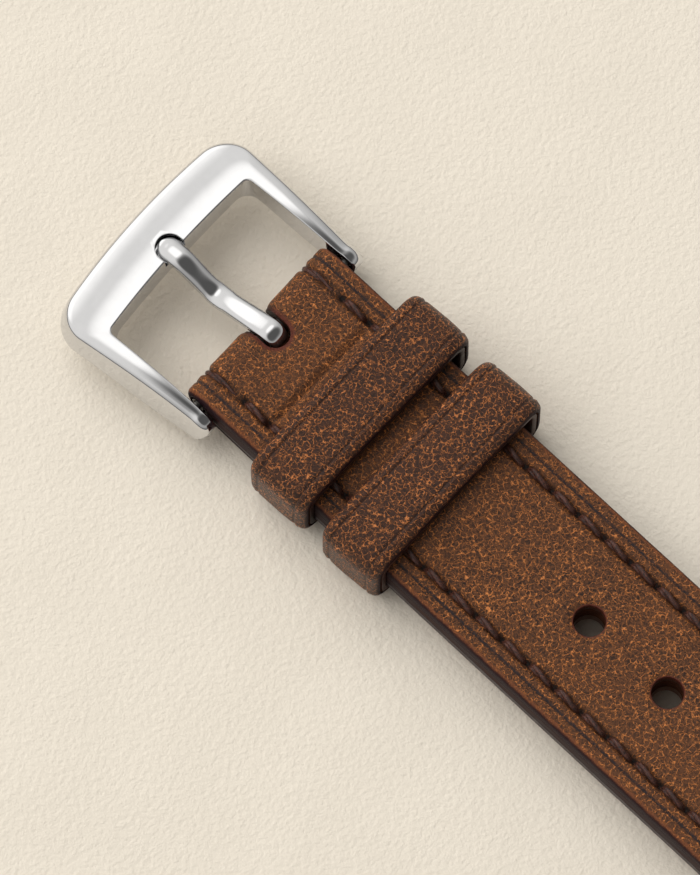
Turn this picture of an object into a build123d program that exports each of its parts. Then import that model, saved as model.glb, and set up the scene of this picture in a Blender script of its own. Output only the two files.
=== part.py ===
from build123d import *
import math
import os

# A padded leather watch strap, buckle side, in millimetres.
# X runs along the strap from the buckle to the watch, Y across it and Z up, away from the wrist.
# The origin is on the strap's wrist side, midway between the two spring bars.

# Strap body
strap_width = 16.0
bar_spacing = 75.0
edge_thickness = 3.3
skin_thickness = 1.1
lining_thickness = 1.0
pad_rise = 0.35
edge_bevel = 0.35

# Folds that carry the spring bars
fold_wall = 0.95
flap_length = 6.4
flap_flat_length = 2.0
flap_tip_thickness = 0.2
core_nose_setback = 0.3

# Padding and the crease pressed where it starts
pad_start = 6.1
pad_ramp_length = 3.0
cross_crease_width = 0.5
cross_crease_depth = 0.3

# Tongue slot and punched holes
slot_width = 2.4
slot_reach = 2.05
hole_radius = 1.28
hole_rim = 0.18
first_hole_from_buckle = 34.4
hole_pitch = 8.25
hole_count = 2

# Stitching
stitch_inset = 2.3
stitch_pitch = 2.8
first_stitch_from_bar = 2.6
thread_width = 0.7
thread_proud = 0.14
thread_sink = 0.34
channel_width = 0.9
channel_depth = 0.12
leg_width = 0.5
stitch_slope_share = 0.24

# Keepers
keeper_width = 5.8
keeper_skin = 0.8
keeper_lining = 0.5
keeper_side_gap = 0.2
keeper_under_gap = 0.2
keeper_top_gap = 0.55
keeper_bevel = 0.35
keeper_joint_gap = 0.1
keeper_joint_angle = 60.0
fixed_keeper_from_bar = 9.5
keeper_spacing = 7.7

# Spring bars, the same at the buckle and at the watch
tube_radius = 0.75
tube_bore_radius = 0.5
tube_setback = 2.0
tube_lip = 0.3
running_clearance = 0.05
tip_radius = 0.4
tip_length = 1.0
tip_chamfer = 0.13
neck_radius = 0.33
flange_radius = 0.6
flange_thickness = 1.0
plunger_length = 0.95
wire_side = 0.16
spring_turns = 5

# Buckle frame
frame_reach = 14.4
front_bar_depth = 4.2
front_sagitta = 1.5
front_top_z = 3.55
front_thickness = 2.5
front_dome = 0.3
front_corner_round = 2.2
frame_wall_at_front = 2.5
frame_wall_at_ear = 1.75
frame_draft = 10.0
opening_draft = 7.0
opening_round = 0.6
ear_radius = 1.65
ear_clearance = 0.2
frame_bevel = 0.25
blind_hole_spare = 0.15
notch_radius = 1.15
notch_depth = 1.05
notch_setback = 0.15

# Buckle tongue
tongue_width = 2.0
tongue_middle_thickness = 0.85
tongue_tip_thickness = 0.95
tongue_eye_wall = 0.65
tongue_dip = 1.35
tongue_tip_gap = 0.2
tongue_seat_gap = 0.05
tongue_bevel = 0.25
tongue_dip_share = 0.46
tongue_flat_share = 0.82

# One overrun serves every cut
overrun = 1.0

half_width = strap_width / 2
top_z = edge_thickness
crown_z = top_z + pad_rise
tunnel_radius = tube_radius + running_clearance
fold_radius = tunnel_radius + fold_wall
axis_z = top_z - fold_radius
fold_bottom_z = axis_z - fold_radius
buckle_bar_x = -bar_spacing / 2
watch_bar_x = bar_spacing / 2
row_y = half_width - stitch_inset
tube_half_length = half_width - tube_setback
pad_half = row_y - channel_width / 2
opening_half = half_width + ear_clearance
shoulder_y = half_width
keeper_inner_round = edge_bevel + keeper_side_gap


def along_x(profile):
    """Push a profile drawn across the strap well past both ends of it."""
    return Pos(-bar_spacing, 0, 0) * extrude(profile, amount=2 * bar_spacing)


def across_y(profile, half_span, centre_y=0.0):
    """Push a side profile across the strap, to half_span each side of centre_y."""
    return Pos(0, centre_y + half_span, 0) * extrude(profile, amount=2 * half_span)


def y_cylinder(radius, start_y, end_y, x, z):
    """A round bar or bore that runs along Y from start_y to end_y."""
    length = abs(end_y - start_y)
    return Pos(x, (start_y + end_y) / 2, z) * Rot(90, 0, 0) * Cylinder(radius, length)


def side_profile(points, arcs=()):
    """A closed face in the XZ plane from straight runs and three-point arcs, in order."""
    with BuildSketch(Plane.XZ) as sketch:
        with BuildLine():
            for run in points:
                Polyline(*run)
            for start, middle, end in arcs:
                ThreePointArc(start, middle, end)
        make_face()
    return sketch.sketch


def wrist_side_z(x):
    """Height of the strap's wrist side at a distance from the nearest spring bar."""
    share = (x - flap_flat_length) / (flap_length - flap_flat_length)
    return fold_bottom_z * (1 - min(max(share, 0), 1))


def crowned_prism(surface_z, channelled):
    """The strap's cross-section, padded between the stitch rows, as a prism along X."""
    floor_z = fold_bottom_z - overrun
    channel_z = surface_z - channel_depth
    channel = [
        (half_width, surface_z - edge_bevel),
        (half_width - edge_bevel, surface_z),
        (row_y + channel_width / 2, surface_z),
        (row_y + channel_width / 2, channel_z),
        (pad_half, channel_z),
        (pad_half, surface_z),
    ]
    shoulder = channel if channelled else [(half_width, surface_z), (pad_half, surface_z)]
    right = [(half_width - edge_bevel + floor_z, floor_z), (half_width, edge_bevel)] + shoulder
    left = [(-y, z) for y, z in reversed(right)]
    with BuildSketch(Plane.YZ) as sketch:
        with BuildLine():
            Polyline(*right)
            ThreePointArc((pad_half, surface_z), (0, surface_z + pad_rise), (-pad_half, surface_z))
            Polyline(*left, right[0])
        make_face()
    return along_x(sketch.sketch)


def mirrored_outline(points):
    """Points of an outline's buckle half, followed by their mirror images."""
    return points + [(-x, z) for x, z in reversed(points)]


def strap_envelope():
    """Everything inside the strap's outer surface, with its two round folds."""
    top = mirrored_outline([
        (buckle_bar_x, top_z),
        (buckle_bar_x + pad_start, top_z),
        (buckle_bar_x + pad_start + pad_ramp_length, crown_z),
    ])
    bottom = mirrored_outline([
        (buckle_bar_x, fold_bottom_z),
        (buckle_bar_x + flap_flat_length, fold_bottom_z),
        (buckle_bar_x + flap_length, 0),
    ])
    folds = [
        ((bar_x, top_z), (bar_x + out * fold_radius, axis_z), (bar_x, fold_bottom_z))
        for bar_x, out in ((buckle_bar_x, -1), (watch_bar_x, 1))
    ]
    body = across_y(side_profile([top, bottom], folds), half_width)
    return body & crowned_prism(top_z, True)


def strap_filling():
    """The room inside the top skin and its turned-back flaps: padding over lining."""
    nose_x = buckle_bar_x + core_nose_setback
    inner_z = top_z - skin_thickness
    top = mirrored_outline([
        (nose_x, inner_z),
        (buckle_bar_x + pad_start, inner_z),
        (buckle_bar_x + pad_start + pad_ramp_length, inner_z + pad_rise),
    ])
    bottom = mirrored_outline([
        (nose_x, inner_z),
        (nose_x, axis_z - tunnel_radius),
        (buckle_bar_x + flap_length, flap_tip_thickness),
        (buckle_bar_x + flap_length, 0),
    ])
    body = across_y(side_profile([top, bottom]), half_width)
    return body & crowned_prism(inner_z, False)


def bar_tunnels():
    """The two bores through the folds."""
    reach = half_width + overrun
    return [y_cylinder(tunnel_radius, -reach, reach, x, axis_z) for x in (buckle_bar_x, watch_bar_x)]


def tongue_slot():
    """The slot through the buckle fold that frees the tongue's eye."""
    start_x = buckle_bar_x - fold_radius - overrun
    end_x = buckle_bar_x + slot_reach - slot_width / 2
    height = 2 * (fold_radius + overrun)
    straight = Pos((start_x + end_x) / 2, 0, axis_z) * Box(end_x - start_x, slot_width, height)
    return straight + Pos(end_x, 0, axis_z) * Cylinder(slot_width / 2, height)


def punched_holes():
    """The two adjustment holes, each with a softened rim."""
    height = crown_z + 2 * overrun
    cuts = []
    for index in range(hole_count):
        x = buckle_bar_x + first_hole_from_buckle + index * hole_pitch
        cuts.append(Pos(x, 0, crown_z / 2) * Cylinder(hole_radius, height))
        rim = Cone(hole_radius, hole_radius + 2 * hole_rim, 2 * hole_rim)
        cuts.append(Pos(x, 0, crown_z) * rim)
    return cuts


def cross_crease():
    """The crease pressed across the strap where the padding starts."""
    x = buckle_bar_x + pad_start - cross_crease_width
    corner = [
        (x - cross_crease_width / 2, top_z + overrun),
        (x - cross_crease_width / 2, top_z),
        (x, top_z - cross_crease_depth),
        (x + cross_crease_width / 2, top_z),
        (x + cross_crease_width / 2, top_z + overrun),
        (x - cross_crease_width / 2, top_z + overrun),
    ]
    return across_y(side_profile([corner]), half_width + overrun)


def stitch_nodes():
    """X of each awl hole, from the buckle end to the watch end."""
    start = buckle_bar_x + first_stitch_from_bar
    end = watch_bar_x - first_stitch_from_bar
    count = max(round((end - start) / stitch_pitch), 1)
    return [start + index * (end - start) / count for index in range(count + 1)]


def stitch_hump(start, end, low_z, peak_z):
    """Side view of one stitch: flat where it is buried, humped where it shows."""
    slope = (end - start) * stitch_slope_share
    crest = [(start + slope, peak_z), (end - slope, peak_z)]
    return side_profile([[(start, low_z)] + crest + [(end, low_z), (start, low_z)]])


def fold_wrap(bar_x, out, node_x):
    """Side view of the end stitch, which goes round the outside of a fold."""
    outer = fold_radius + thread_proud
    inner = fold_radius - thread_sink
    top_run = [(node_x, axis_z + inner), (node_x, axis_z + outer), (bar_x, axis_z + outer)]
    bottom_run = [(bar_x, axis_z - outer), (node_x, axis_z - outer), (node_x, axis_z - inner)]
    arcs = [
        ((bar_x, axis_z + outer), (bar_x + out * outer, axis_z), (bar_x, axis_z - outer)),
        ((bar_x, axis_z - inner), (bar_x + out * inner, axis_z), (bar_x, axis_z + inner)),
    ]
    closing = [[(node_x, axis_z - inner), (bar_x, axis_z - inner)], [(bar_x, axis_z + inner), (node_x, axis_z + inner)]]
    return side_profile([top_run, bottom_run] + closing, arcs)


def thread_row(side):
    """One saddle-stitched row: a single thread over, through and under all layers."""
    nodes = stitch_nodes()
    pieces = [fold_wrap(buckle_bar_x, -1, nodes[0]), fold_wrap(watch_bar_x, 1, nodes[-1])]
    for start, end in zip(nodes, nodes[1:]):
        from_bar = min((start + end) / 2 - buckle_bar_x, watch_bar_x - (start + end) / 2)
        base_z = wrist_side_z(from_bar)
        sink = thread_sink if from_bar < flap_length else channel_depth
        pieces.append(stitch_hump(start, end, top_z - channel_depth, top_z + thread_proud))
        pieces.append(stitch_hump(start, end, base_z + sink, base_z))
    for node_x in nodes:
        base_z = wrist_side_z(min(node_x - buckle_bar_x, watch_bar_x - node_x))
        foot_z = base_z + channel_depth / 2
        head_z = top_z - channel_depth / 2
        leg = Pos(node_x, 0, (foot_z + head_z) / 2) * Rot(90, 0, 0) * Rectangle(leg_width, head_z - foot_z)
        pieces.append(leg)
    profile = Sketch() + pieces
    return across_y(profile, thread_width / 2, side * row_y)


def loop_prism(offset, width, x, low_z, high_z):
    """A rounded block that fills a keeper's inner outline grown by an offset."""
    inner_half = half_width + keeper_side_gap
    height = high_z - low_z + 2 * offset
    face = Plane.YZ * RectangleRounded(2 * (inner_half + offset), height, keeper_inner_round + offset)
    return Pos(x - width / 2, 0, (low_z + high_z) / 2) * extrude(face, amount=width)


def keeper(x, low_z):
    """A keeper loop of two plies: an outer skin with bevelled edges, and its lining."""
    high_z = low_z + crown_z + keeper_top_gap
    thickness = keeper_skin + keeper_lining
    block = loop_prism(thickness, keeper_width, x, low_z, high_z)
    rims = block.edges().group_by(Axis.X)
    skin = chamfer(rims[0] + rims[-1], keeper_bevel)
    skin -= loop_prism(keeper_lining, keeper_width + overrun, x, low_z, high_z)
    scarf = Box(keeper_width + overrun, keeper_joint_gap, 2 * (thickness + overrun))
    skin -= Pos(x, 0, low_z - thickness) * Rot(keeper_joint_angle, 0, 0) * scarf
    lining = loop_prism(keeper_lining, keeper_width, x, low_z, high_z)
    lining -= loop_prism(0, keeper_width + overrun, x, low_z, high_z)
    return skin, lining


def spring_bar_parts(bar_x):
    """A spring bar: crimped tube, two shouldered tips and the spring between them."""
    mouth_y = tube_half_length - tube_lip
    shell = y_cylinder(tube_radius, -tube_half_length, tube_half_length, bar_x, axis_z)
    shell -= y_cylinder(tube_bore_radius, -mouth_y, mouth_y, bar_x, axis_z)
    reach = tube_half_length + overrun
    shell -= y_cylinder(neck_radius + running_clearance, -reach, reach, bar_x, axis_z)
    tips = []
    plunger_radius = tube_bore_radius - running_clearance
    for side in (-1, 1):
        inner_y = mouth_y - plunger_length
        stages = [
            (plunger_radius, inner_y, mouth_y),
            (neck_radius, inner_y, shoulder_y),
            (flange_radius, shoulder_y - flange_thickness, shoulder_y),
            (tip_radius, shoulder_y - flange_thickness, shoulder_y + tip_length),
        ]
        tip = Part() + [
            y_cylinder(radius, side * start, side * end, bar_x, axis_z) for radius, start, end in stages
        ]
        rim = tip.edges().filter_by(GeomType.CIRCLE).group_by(Axis.Y)[-1 if side > 0 else 0]
        tips.append(chamfer(rim, tip_chamfer))
    coil_half = mouth_y - plunger_length - wire_side
    coil_radius = tube_bore_radius - running_clearance - wire_side / 2
    path = Helix(2 * coil_half / spring_turns, 2 * coil_half, coil_radius)
    section = Plane(origin=path @ 0, x_dir=(1, 0, 0), z_dir=path % 0) * Rectangle(wire_side, wire_side)
    coil = Rot(-90, 0, 0) * sweep(section, path=path, is_frenet=True)
    return shell, tips[0], tips[1], Pos(bar_x, -coil_half, axis_z) * coil


def frame_plan():
    """The buckle frame's outer outline at its underside: bowed front, arms that splay."""
    front_x = buckle_bar_x - frame_reach
    corner_x = front_x + front_sagitta
    ear_x = buckle_bar_x + ear_radius + overrun
    front_half = opening_half + frame_wall_at_front
    ear_half = opening_half + frame_wall_at_ear
    with BuildSketch() as sketch:
        with BuildLine():
            ThreePointArc((corner_x, front_half), (front_x, 0), (corner_x, -front_half))
            Polyline((corner_x, -front_half), (ear_x, -ear_half), (ear_x, ear_half), (corner_x, front_half))
        make_face()
        corners = sketch.vertices().group_by(Axis.X)[0]
        fillet(corners, front_corner_round)
    return sketch.sketch


def frame_side():
    """The buckle frame's side view: a flat front bar and deep round ears."""
    front_x = buckle_bar_x - frame_reach - overrun
    bar_end_x = buckle_bar_x - frame_reach + front_bar_depth + overrun
    low_front_z = front_top_z - front_thickness
    with BuildSketch(Plane.XZ) as sketch:
        with BuildLine():
            ear_top = (buckle_bar_x, axis_z + ear_radius)
            ear_foot = (buckle_bar_x, axis_z - ear_radius)
            ThreePointArc(ear_top, (buckle_bar_x + ear_radius, axis_z), ear_foot)
            Spline(ear_foot, (bar_end_x, low_front_z), tangents=[(-1, 0), (-1, 0)])
            Polyline((bar_end_x, low_front_z), (front_x, low_front_z), (front_x, front_top_z - front_dome))
            Spline(
                (front_x, front_top_z - front_dome), (bar_end_x, front_top_z), ear_top,
                tangents=[(1, front_dome / front_thickness), (1, 0)],
            )
        make_face()
    return across_y(sketch.sketch, opening_half + frame_wall_at_front + overrun)


def frame_opening(base_z, height):
    """The opening between the arms, which narrows downwards and runs out past the ears."""
    inner_x = buckle_bar_x - frame_reach + front_bar_depth
    spread = height * math.tan(math.radians(opening_draft))
    start_x = inner_x + spread / 2
    end_x = buckle_bar_x + ear_radius + 2 * overrun
    face = Rectangle(end_x - start_x, 2 * opening_half)
    face = fillet(face.vertices().group_by(Axis.X)[0], opening_round)
    face = Pos((start_x + end_x) / 2, 0, base_z) * face
    return extrude(face, amount=height, taper=-opening_draft)


def buckle_frame():
    """The polished frame, with the tongue's notch and blind holes for the bar."""
    base_z = axis_z - ear_radius
    height = front_top_z - base_z
    body = extrude(Pos(0, 0, base_z) * frame_plan(), amount=height + overrun, taper=frame_draft)
    body &= frame_side()
    body -= frame_opening(base_z, height + overrun)
    body = chamfer(body.edges(), frame_bevel)
    for side in (-1, 1):
        end_y = shoulder_y + tip_length + blind_hole_spare
        body -= y_cylinder(tip_radius + running_clearance, side * half_width, side * end_y, buckle_bar_x, axis_z)
    inner_x = buckle_bar_x - frame_reach + front_bar_depth
    notch_x = inner_x - notch_setback
    floor_z = front_top_z - notch_depth
    body -= Pos(notch_x, 0, floor_z + overrun) * Cylinder(notch_radius, 2 * overrun)
    run = 2 * overrun
    body -= Pos(notch_x + run / 2, 0, floor_z + overrun) * Box(run, 2 * notch_radius, 2 * overrun)
    return body


def tongue_shank(tip_x, tip_floor_z, eye_radius):
    """The tongue's shank, which dips between the bar and its round tip."""
    reach = buckle_bar_x - tip_x
    half = tongue_width / 2
    dip_x = buckle_bar_x - tongue_dip_share * reach
    flat_x = buckle_bar_x - tongue_flat_share * reach
    tip_top_z = tip_floor_z + tongue_tip_thickness
    dip_z = tip_top_z - tongue_dip
    root_top = (buckle_bar_x, axis_z + eye_radius)
    root_under = (buckle_bar_x, axis_z + tunnel_radius)
    with BuildSketch(Plane.XZ) as sketch:
        with BuildLine():
            Spline(root_top, (dip_x, dip_z), (flat_x, tip_top_z), tangents=[(-1, 0), (-1, 0)])
            Polyline((flat_x, tip_top_z), (tip_x, tip_top_z), (tip_x, tip_floor_z), (flat_x, tip_floor_z))
            Spline(
                (flat_x, tip_floor_z), (dip_x, dip_z - tongue_middle_thickness), root_under,
                tangents=[(1, 0), (1, 0)],
            )
            Line(root_under, root_top)
        make_face()
    centre_x = tip_x + half
    plan = Pos((centre_x + buckle_bar_x) / 2, 0) * Rectangle(buckle_bar_x - centre_x, tongue_width)
    plan += Pos(centre_x, 0) * Circle(half)
    shank = across_y(sketch.sketch, half) & extrude(plan, amount=tip_top_z + overrun)
    return chamfer(shank.edges().filter_by(lambda edge: edge.bounding_box().size.X > half / 2), tongue_bevel)


def buckle_tongue():
    """The tongue: an eye round the bar and a shank that rests in the frame's notch."""
    inner_x = buckle_bar_x - frame_reach + front_bar_depth
    tip_x = inner_x - notch_setback - notch_radius + tongue_tip_gap
    eye_radius = tunnel_radius + tongue_eye_wall
    half = tongue_width / 2
    eye = y_cylinder(eye_radius, -half, half, buckle_bar_x, axis_z)
    eye = chamfer(eye.edges().filter_by(GeomType.CIRCLE), tongue_bevel)
    tongue = eye + tongue_shank(tip_x, front_top_z - notch_depth + tongue_seat_gap, eye_radius)
    return tongue - y_cylinder(tunnel_radius, -half - overrun, half + overrun, buckle_bar_x, axis_z)


def wrist_channels():
    """The grooves that keep the stitches off the wrist, between the two flaps."""
    length = bar_spacing - 2 * flap_length
    return [Pos(0, side * row_y, 0) * Box(length, channel_width, 2 * channel_depth) for side in (-1, 1)]


def leather_stack(threads):
    """The skin, padding and lining, cut for the bars, tongue, holes and thread."""
    envelope = strap_envelope()
    filling = strap_filling()
    halves = split(filling, bisect_by=Plane.XY.offset(lining_thickness), keep=Keep.BOTH)
    by_height = sorted(halves.solids(), key=lambda solid: solid.center().Z)
    cuts = bar_tunnels() + [tongue_slot()] + punched_holes() + wrist_channels() + threads
    skin = envelope - filling - cross_crease()
    return [solid - cuts for solid in (skin, by_height[-1], by_height[0])]


threads = [thread_row(-1), thread_row(1)]
skin, padding, lining = leather_stack(threads)
fixed_x = buckle_bar_x + fixed_keeper_from_bar
fixed_skin, fixed_lining = keeper(fixed_x, 0)
free_skin, free_lining = keeper(fixed_x + keeper_spacing, -keeper_under_gap)
buckle_tube, buckle_tip_left, buckle_tip_right, buckle_spring = spring_bar_parts(buckle_bar_x)
watch_tube, watch_tip_left, watch_tip_right, watch_spring = spring_bar_parts(watch_bar_x)

nodes = {
    "top_skin": skin,
    "padding": padding,
    "wrist_lining": lining,
    "thread_row_left": threads[0],
    "thread_row_right": threads[1],
    "fixed_keeper_skin": fixed_skin,
    "fixed_keeper_lining": fixed_lining,
    "free_keeper_skin": free_skin,
    "free_keeper_lining": free_lining,
    "buckle_frame": buckle_frame(),
    "buckle_tongue": buckle_tongue(),
    "buckle_bar_tube": buckle_tube,
    "buckle_bar_tip_left": buckle_tip_left,
    "buckle_bar_tip_right": buckle_tip_right,
    "buckle_bar_spring": buckle_spring,
    "watch_bar_tube": watch_tube,
    "watch_bar_tip_left": watch_tip_left,
    "watch_bar_tip_right": watch_tip_right,
    "watch_bar_spring": watch_spring,
}

os.makedirs("parts", exist_ok=True)
for name, shape in nodes.items():
    export_step(shape, f"parts/{name}.step")
    print(name, "volume", round(shape.volume, 3), "solids", len(shape.solids()))
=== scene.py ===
"""Leather watch strap, buckle side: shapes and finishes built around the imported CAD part."""

import logging
import math
from collections.abc import Callable, Iterator, Sequence
from contextlib import contextmanager
from dataclasses import dataclass, field
from enum import Enum

import bmesh
import bpy
import numpy as np
from mathutils import Matrix, Vector, noise


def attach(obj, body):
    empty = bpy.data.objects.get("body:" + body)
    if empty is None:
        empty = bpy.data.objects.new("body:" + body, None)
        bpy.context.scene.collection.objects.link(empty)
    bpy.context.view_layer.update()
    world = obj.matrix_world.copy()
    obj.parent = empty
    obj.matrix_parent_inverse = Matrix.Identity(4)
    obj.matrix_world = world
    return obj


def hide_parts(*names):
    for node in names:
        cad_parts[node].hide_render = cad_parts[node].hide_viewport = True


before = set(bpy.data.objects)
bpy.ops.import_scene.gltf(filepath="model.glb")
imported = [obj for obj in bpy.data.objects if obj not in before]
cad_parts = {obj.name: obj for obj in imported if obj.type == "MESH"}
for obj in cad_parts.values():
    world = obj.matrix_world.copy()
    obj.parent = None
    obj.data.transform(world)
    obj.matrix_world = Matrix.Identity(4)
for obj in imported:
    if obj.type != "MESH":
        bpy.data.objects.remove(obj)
LOG = logging.getLogger("strap")
MM = 0.001
MERGE = 1e-6
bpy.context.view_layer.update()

Point = tuple[float, float, float]
Spot = tuple[float, float]
Ring = list[Point]
Colour = tuple[float, float, float, float]
Piece = bpy.types.Object
Material = bpy.types.Material
Socket = bpy.types.NodeSocket
Number = Socket | float
Tint = Socket | Colour


def srgb(red: float, green: float, blue: float) -> Colour:
    """Turn a screen colour from 0 to 255 into the linear colour that shaders take."""
    channels = (red, green, blue)
    return tuple(((c / 255 + 0.055) / 1.055) ** 2.4 if c > 10.3 else c / 3295 for c in channels) + (1.0,)


def smooth(low: float, high: float, value: float) -> float:
    """Ease from 0 at low to 1 at high."""
    share = min(max((value - low) / (high - low), 0.0), 1.0)
    return share * share * (3 - 2 * share)


def bell(distance: float, width: float) -> float:
    """A soft hump that is 1 at distance 0 and fades over width."""
    return math.exp(-((distance / width) ** 2))


def spread(start: float, end: float, step: float) -> list[float]:
    """Evenly spaced values from start to just before end, about a step apart."""
    count = max(round(abs(end - start) / step), 1)
    return [start + (end - start) * i / count for i in range(count)]


class Body(Enum):
    """The moving body that a piece rides on."""

    STRAP = "strap"
    BUCKLE = "buckle"
    TONGUE = "tongue"
    FREE_KEEPER = "free_keeper"


class Slot(Enum):
    """The record's material slots."""

    GRAINED_LEATHER = "grained_leather"
    LINING_LEATHER = "lining_leather"
    PADDING_BOARD = "padding_board"
    WAXED_THREAD = "waxed_thread"
    POLISHED_STEEL = "polished_steel"


# Modelling


def deselect() -> None:
    """Clear the selection, so that an operator touches only its own piece."""
    bpy.ops.object.select_all(action="DESELECT")


def activate(obj: Piece) -> None:
    """Make one object the selected and active one.

    Args:
        obj: The object.
    """
    deselect()
    obj.select_set(True)
    bpy.context.view_layer.objects.active = obj


@contextmanager
def editing(obj: Piece) -> Iterator[None]:
    """Open the piece's mesh for editing, all of it selected, and close it afterwards.

    Args:
        obj: The piece.

    Yields:
        Nothing, while the mesh is open.
    """
    activate(obj)
    bpy.ops.object.mode_set(mode="EDIT")
    bpy.ops.mesh.select_all(action="SELECT")
    yield
    bpy.ops.object.mode_set(mode="OBJECT")


def clean(obj: Piece, angle: float = 40.0) -> None:
    """Close the seams, turn the faces outward and shade the piece smoothly.

    Args:
        obj: The piece.
        angle: Edges sharper than this, in degrees, stay crisp.
    """
    with editing(obj):
        bpy.ops.mesh.remove_doubles(threshold=MERGE)
        bpy.ops.mesh.normals_make_consistent(inside=False)
    bpy.ops.object.shade_smooth_by_angle(angle=math.radians(angle))


def settle(obj: Piece) -> None:
    """Put the object's own frame at the origin, unturned and unscaled."""
    activate(obj)
    bpy.ops.object.transform_apply(location=True, rotation=True, scale=True)


def sheet_through(name: str, rings: Sequence[Ring]) -> Piece:
    """Lay a grid on a row of closed sections, for soft pieces with fine relief.

    Args:
        name: The piece's name.
        rings: Sections in order, each a list of points in millimetres.

    Returns:
        The piece, with capped ends.
    """
    rows, sides = len(rings), len(rings[0])
    bpy.ops.mesh.primitive_grid_add(x_subdivisions=rows - 1, y_subdivisions=sides, size=2)
    obj = bpy.context.active_object
    obj.name = name
    places = np.empty(len(obj.data.vertices) * 3)
    obj.data.vertices.foreach_get("co", places)
    places = places.reshape(-1, 3)
    row = np.rint((places[:, 0] + 1) / 2 * (rows - 1)).astype(int)
    side = np.rint((places[:, 1] + 1) / 2 * sides).astype(int) % sides
    points = np.array(rings) * MM
    obj.data.vertices.foreach_set("co", points[row, side].ravel())
    obj.data.update()
    with editing(obj):
        bpy.ops.mesh.remove_doubles(threshold=MERGE)
        bpy.ops.mesh.select_all(action="DESELECT")
        bpy.ops.mesh.select_non_manifold()
        bpy.ops.mesh.edge_face_add()
        bpy.ops.mesh.select_all(action="DESELECT")
    return obj


def cap(obj: Piece, station: int) -> None:
    """Close one end section of a piece that is open for editing.

    Args:
        obj: The piece.
        station: Number of the end section, 0 for the first.
    """
    mesh = bmesh.from_edit_mesh(obj.data)
    layer = mesh.verts.layers.int["station"]
    for vert in mesh.verts:
        vert.select = vert[layer] == station
    mesh.select_flush(True)
    mesh.select_flush(False)
    bmesh.update_edit_mesh(obj.data)
    bpy.ops.mesh.edge_face_add()


def extrude_through(name: str, rings: Sequence[Ring], closed: bool = False) -> Piece:
    """Start from a circle, shape it to the first section and extrude it through the others.

    Args:
        name: The piece's name.
        rings: Sections in order, each a list of points in millimetres.
        closed: True where the last section meets the first.

    Returns:
        The piece, with capped ends unless it is closed.
    """
    bpy.ops.mesh.primitive_circle_add(vertices=len(rings[0]), radius=MM)
    obj = bpy.context.active_object
    obj.name = name
    with editing(obj):
        mesh = bmesh.from_edit_mesh(obj.data)
        place = mesh.verts.layers.int.new("place")
        station = mesh.verts.layers.int.new("station")
        for index, vert in enumerate(mesh.verts):
            vert[place] = index
            vert.co = Vector(rings[0][index]) * MM
        bmesh.update_edit_mesh(obj.data)
        for number, ring in enumerate(rings[1:] + (rings[:1] if closed else []), 1):
            bpy.ops.mesh.extrude_region_move()
            mesh = bmesh.from_edit_mesh(obj.data)
            place = mesh.verts.layers.int["place"]
            station = mesh.verts.layers.int["station"]
            for vert in (v for v in mesh.verts if v.select):
                vert.co = Vector(ring[vert[place]]) * MM
                vert[station] = number
            bmesh.update_edit_mesh(obj.data)
        if not closed:
            cap(obj, 0)
            cap(obj, len(rings) - 1)
        bpy.ops.mesh.select_all(action="DESELECT")
    return obj


def modify(obj: Piece, kind: str, **settings: object) -> None:
    """Add a modifier with its settings and apply it.

    Args:
        obj: The piece.
        kind: Blender's name for the modifier.
        settings: Its settings by name.
    """
    activate(obj)
    modifier = obj.modifiers.new(kind.title(), kind)
    for key, value in settings.items():
        setattr(modifier, key, value)
    bpy.ops.object.modifier_apply(modifier=modifier.name)


def subdivide(obj: Piece, levels: int = 1) -> None:
    """Smooth the piece as a subdivision surface, applied."""
    modify(obj, "SUBSURF", levels=levels, render_levels=levels)


def cylinder(radius: float, depth: float, centre: Point, across: bool = False, sides: int = 64) -> Piece:
    """A round cutter in millimetres, upright or lying across the strap.

    Args:
        radius: Its radius in millimetres.
        depth: Its length in millimetres.
        centre: Its middle in millimetres.
        across: True to lie along Y.
        sides: Number of flat sides that make it round.

    Returns:
        The cutter.
    """
    turn = (math.pi / 2 if across else 0, 0, 0)
    place = tuple(c * MM for c in centre)
    bpy.ops.mesh.primitive_cylinder_add(
        vertices=sides, radius=radius * MM, depth=depth * MM, location=place, rotation=turn
    )
    return bpy.context.active_object


def block(size: Point, centre: Point) -> Piece:
    """A box cutter in millimetres.

    Args:
        size: Its size along X, Y and Z.
        centre: Its middle.

    Returns:
        The cutter.
    """
    bpy.ops.mesh.primitive_cube_add(size=1, location=tuple(c * MM for c in centre))
    cutter = bpy.context.active_object
    cutter.scale = tuple(s * MM for s in size)
    return cutter


def cut(obj: Piece, cutters: Sequence[Piece]) -> None:
    """Cut the piece with each cutter in turn and remove the cutters.

    Args:
        obj: The piece.
        cutters: The shapes to cut away.
    """
    clean(obj)
    for cutter in cutters:
        settle(cutter)
        modify(obj, "BOOLEAN", operation="DIFFERENCE", object=cutter, solver="EXACT")
        bpy.data.objects.remove(cutter)


def turn_about(obj: Piece, x: float, angle: float) -> None:
    """Turn a mesh by a small angle about the upright line through (x, 0), in millimetres and radians."""
    there = Matrix.Translation(Vector((x * MM, 0, 0)))
    obj.data.transform(there @ Matrix.Rotation(angle, 4, "Z") @ there.inverted())


def join(name: str, pieces: Sequence[Piece]) -> Piece:
    """Join several meshes into one piece and return it.

    Args:
        name: The joined piece's name.
        pieces: The meshes to join.

    Returns:
        The joined piece.
    """
    deselect()
    for piece in pieces:
        piece.select_set(True)
    bpy.context.view_layer.objects.active = pieces[0]
    if len(pieces) > 1:
        bpy.ops.object.join()
    pieces[0].name = name
    return pieces[0]


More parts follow.
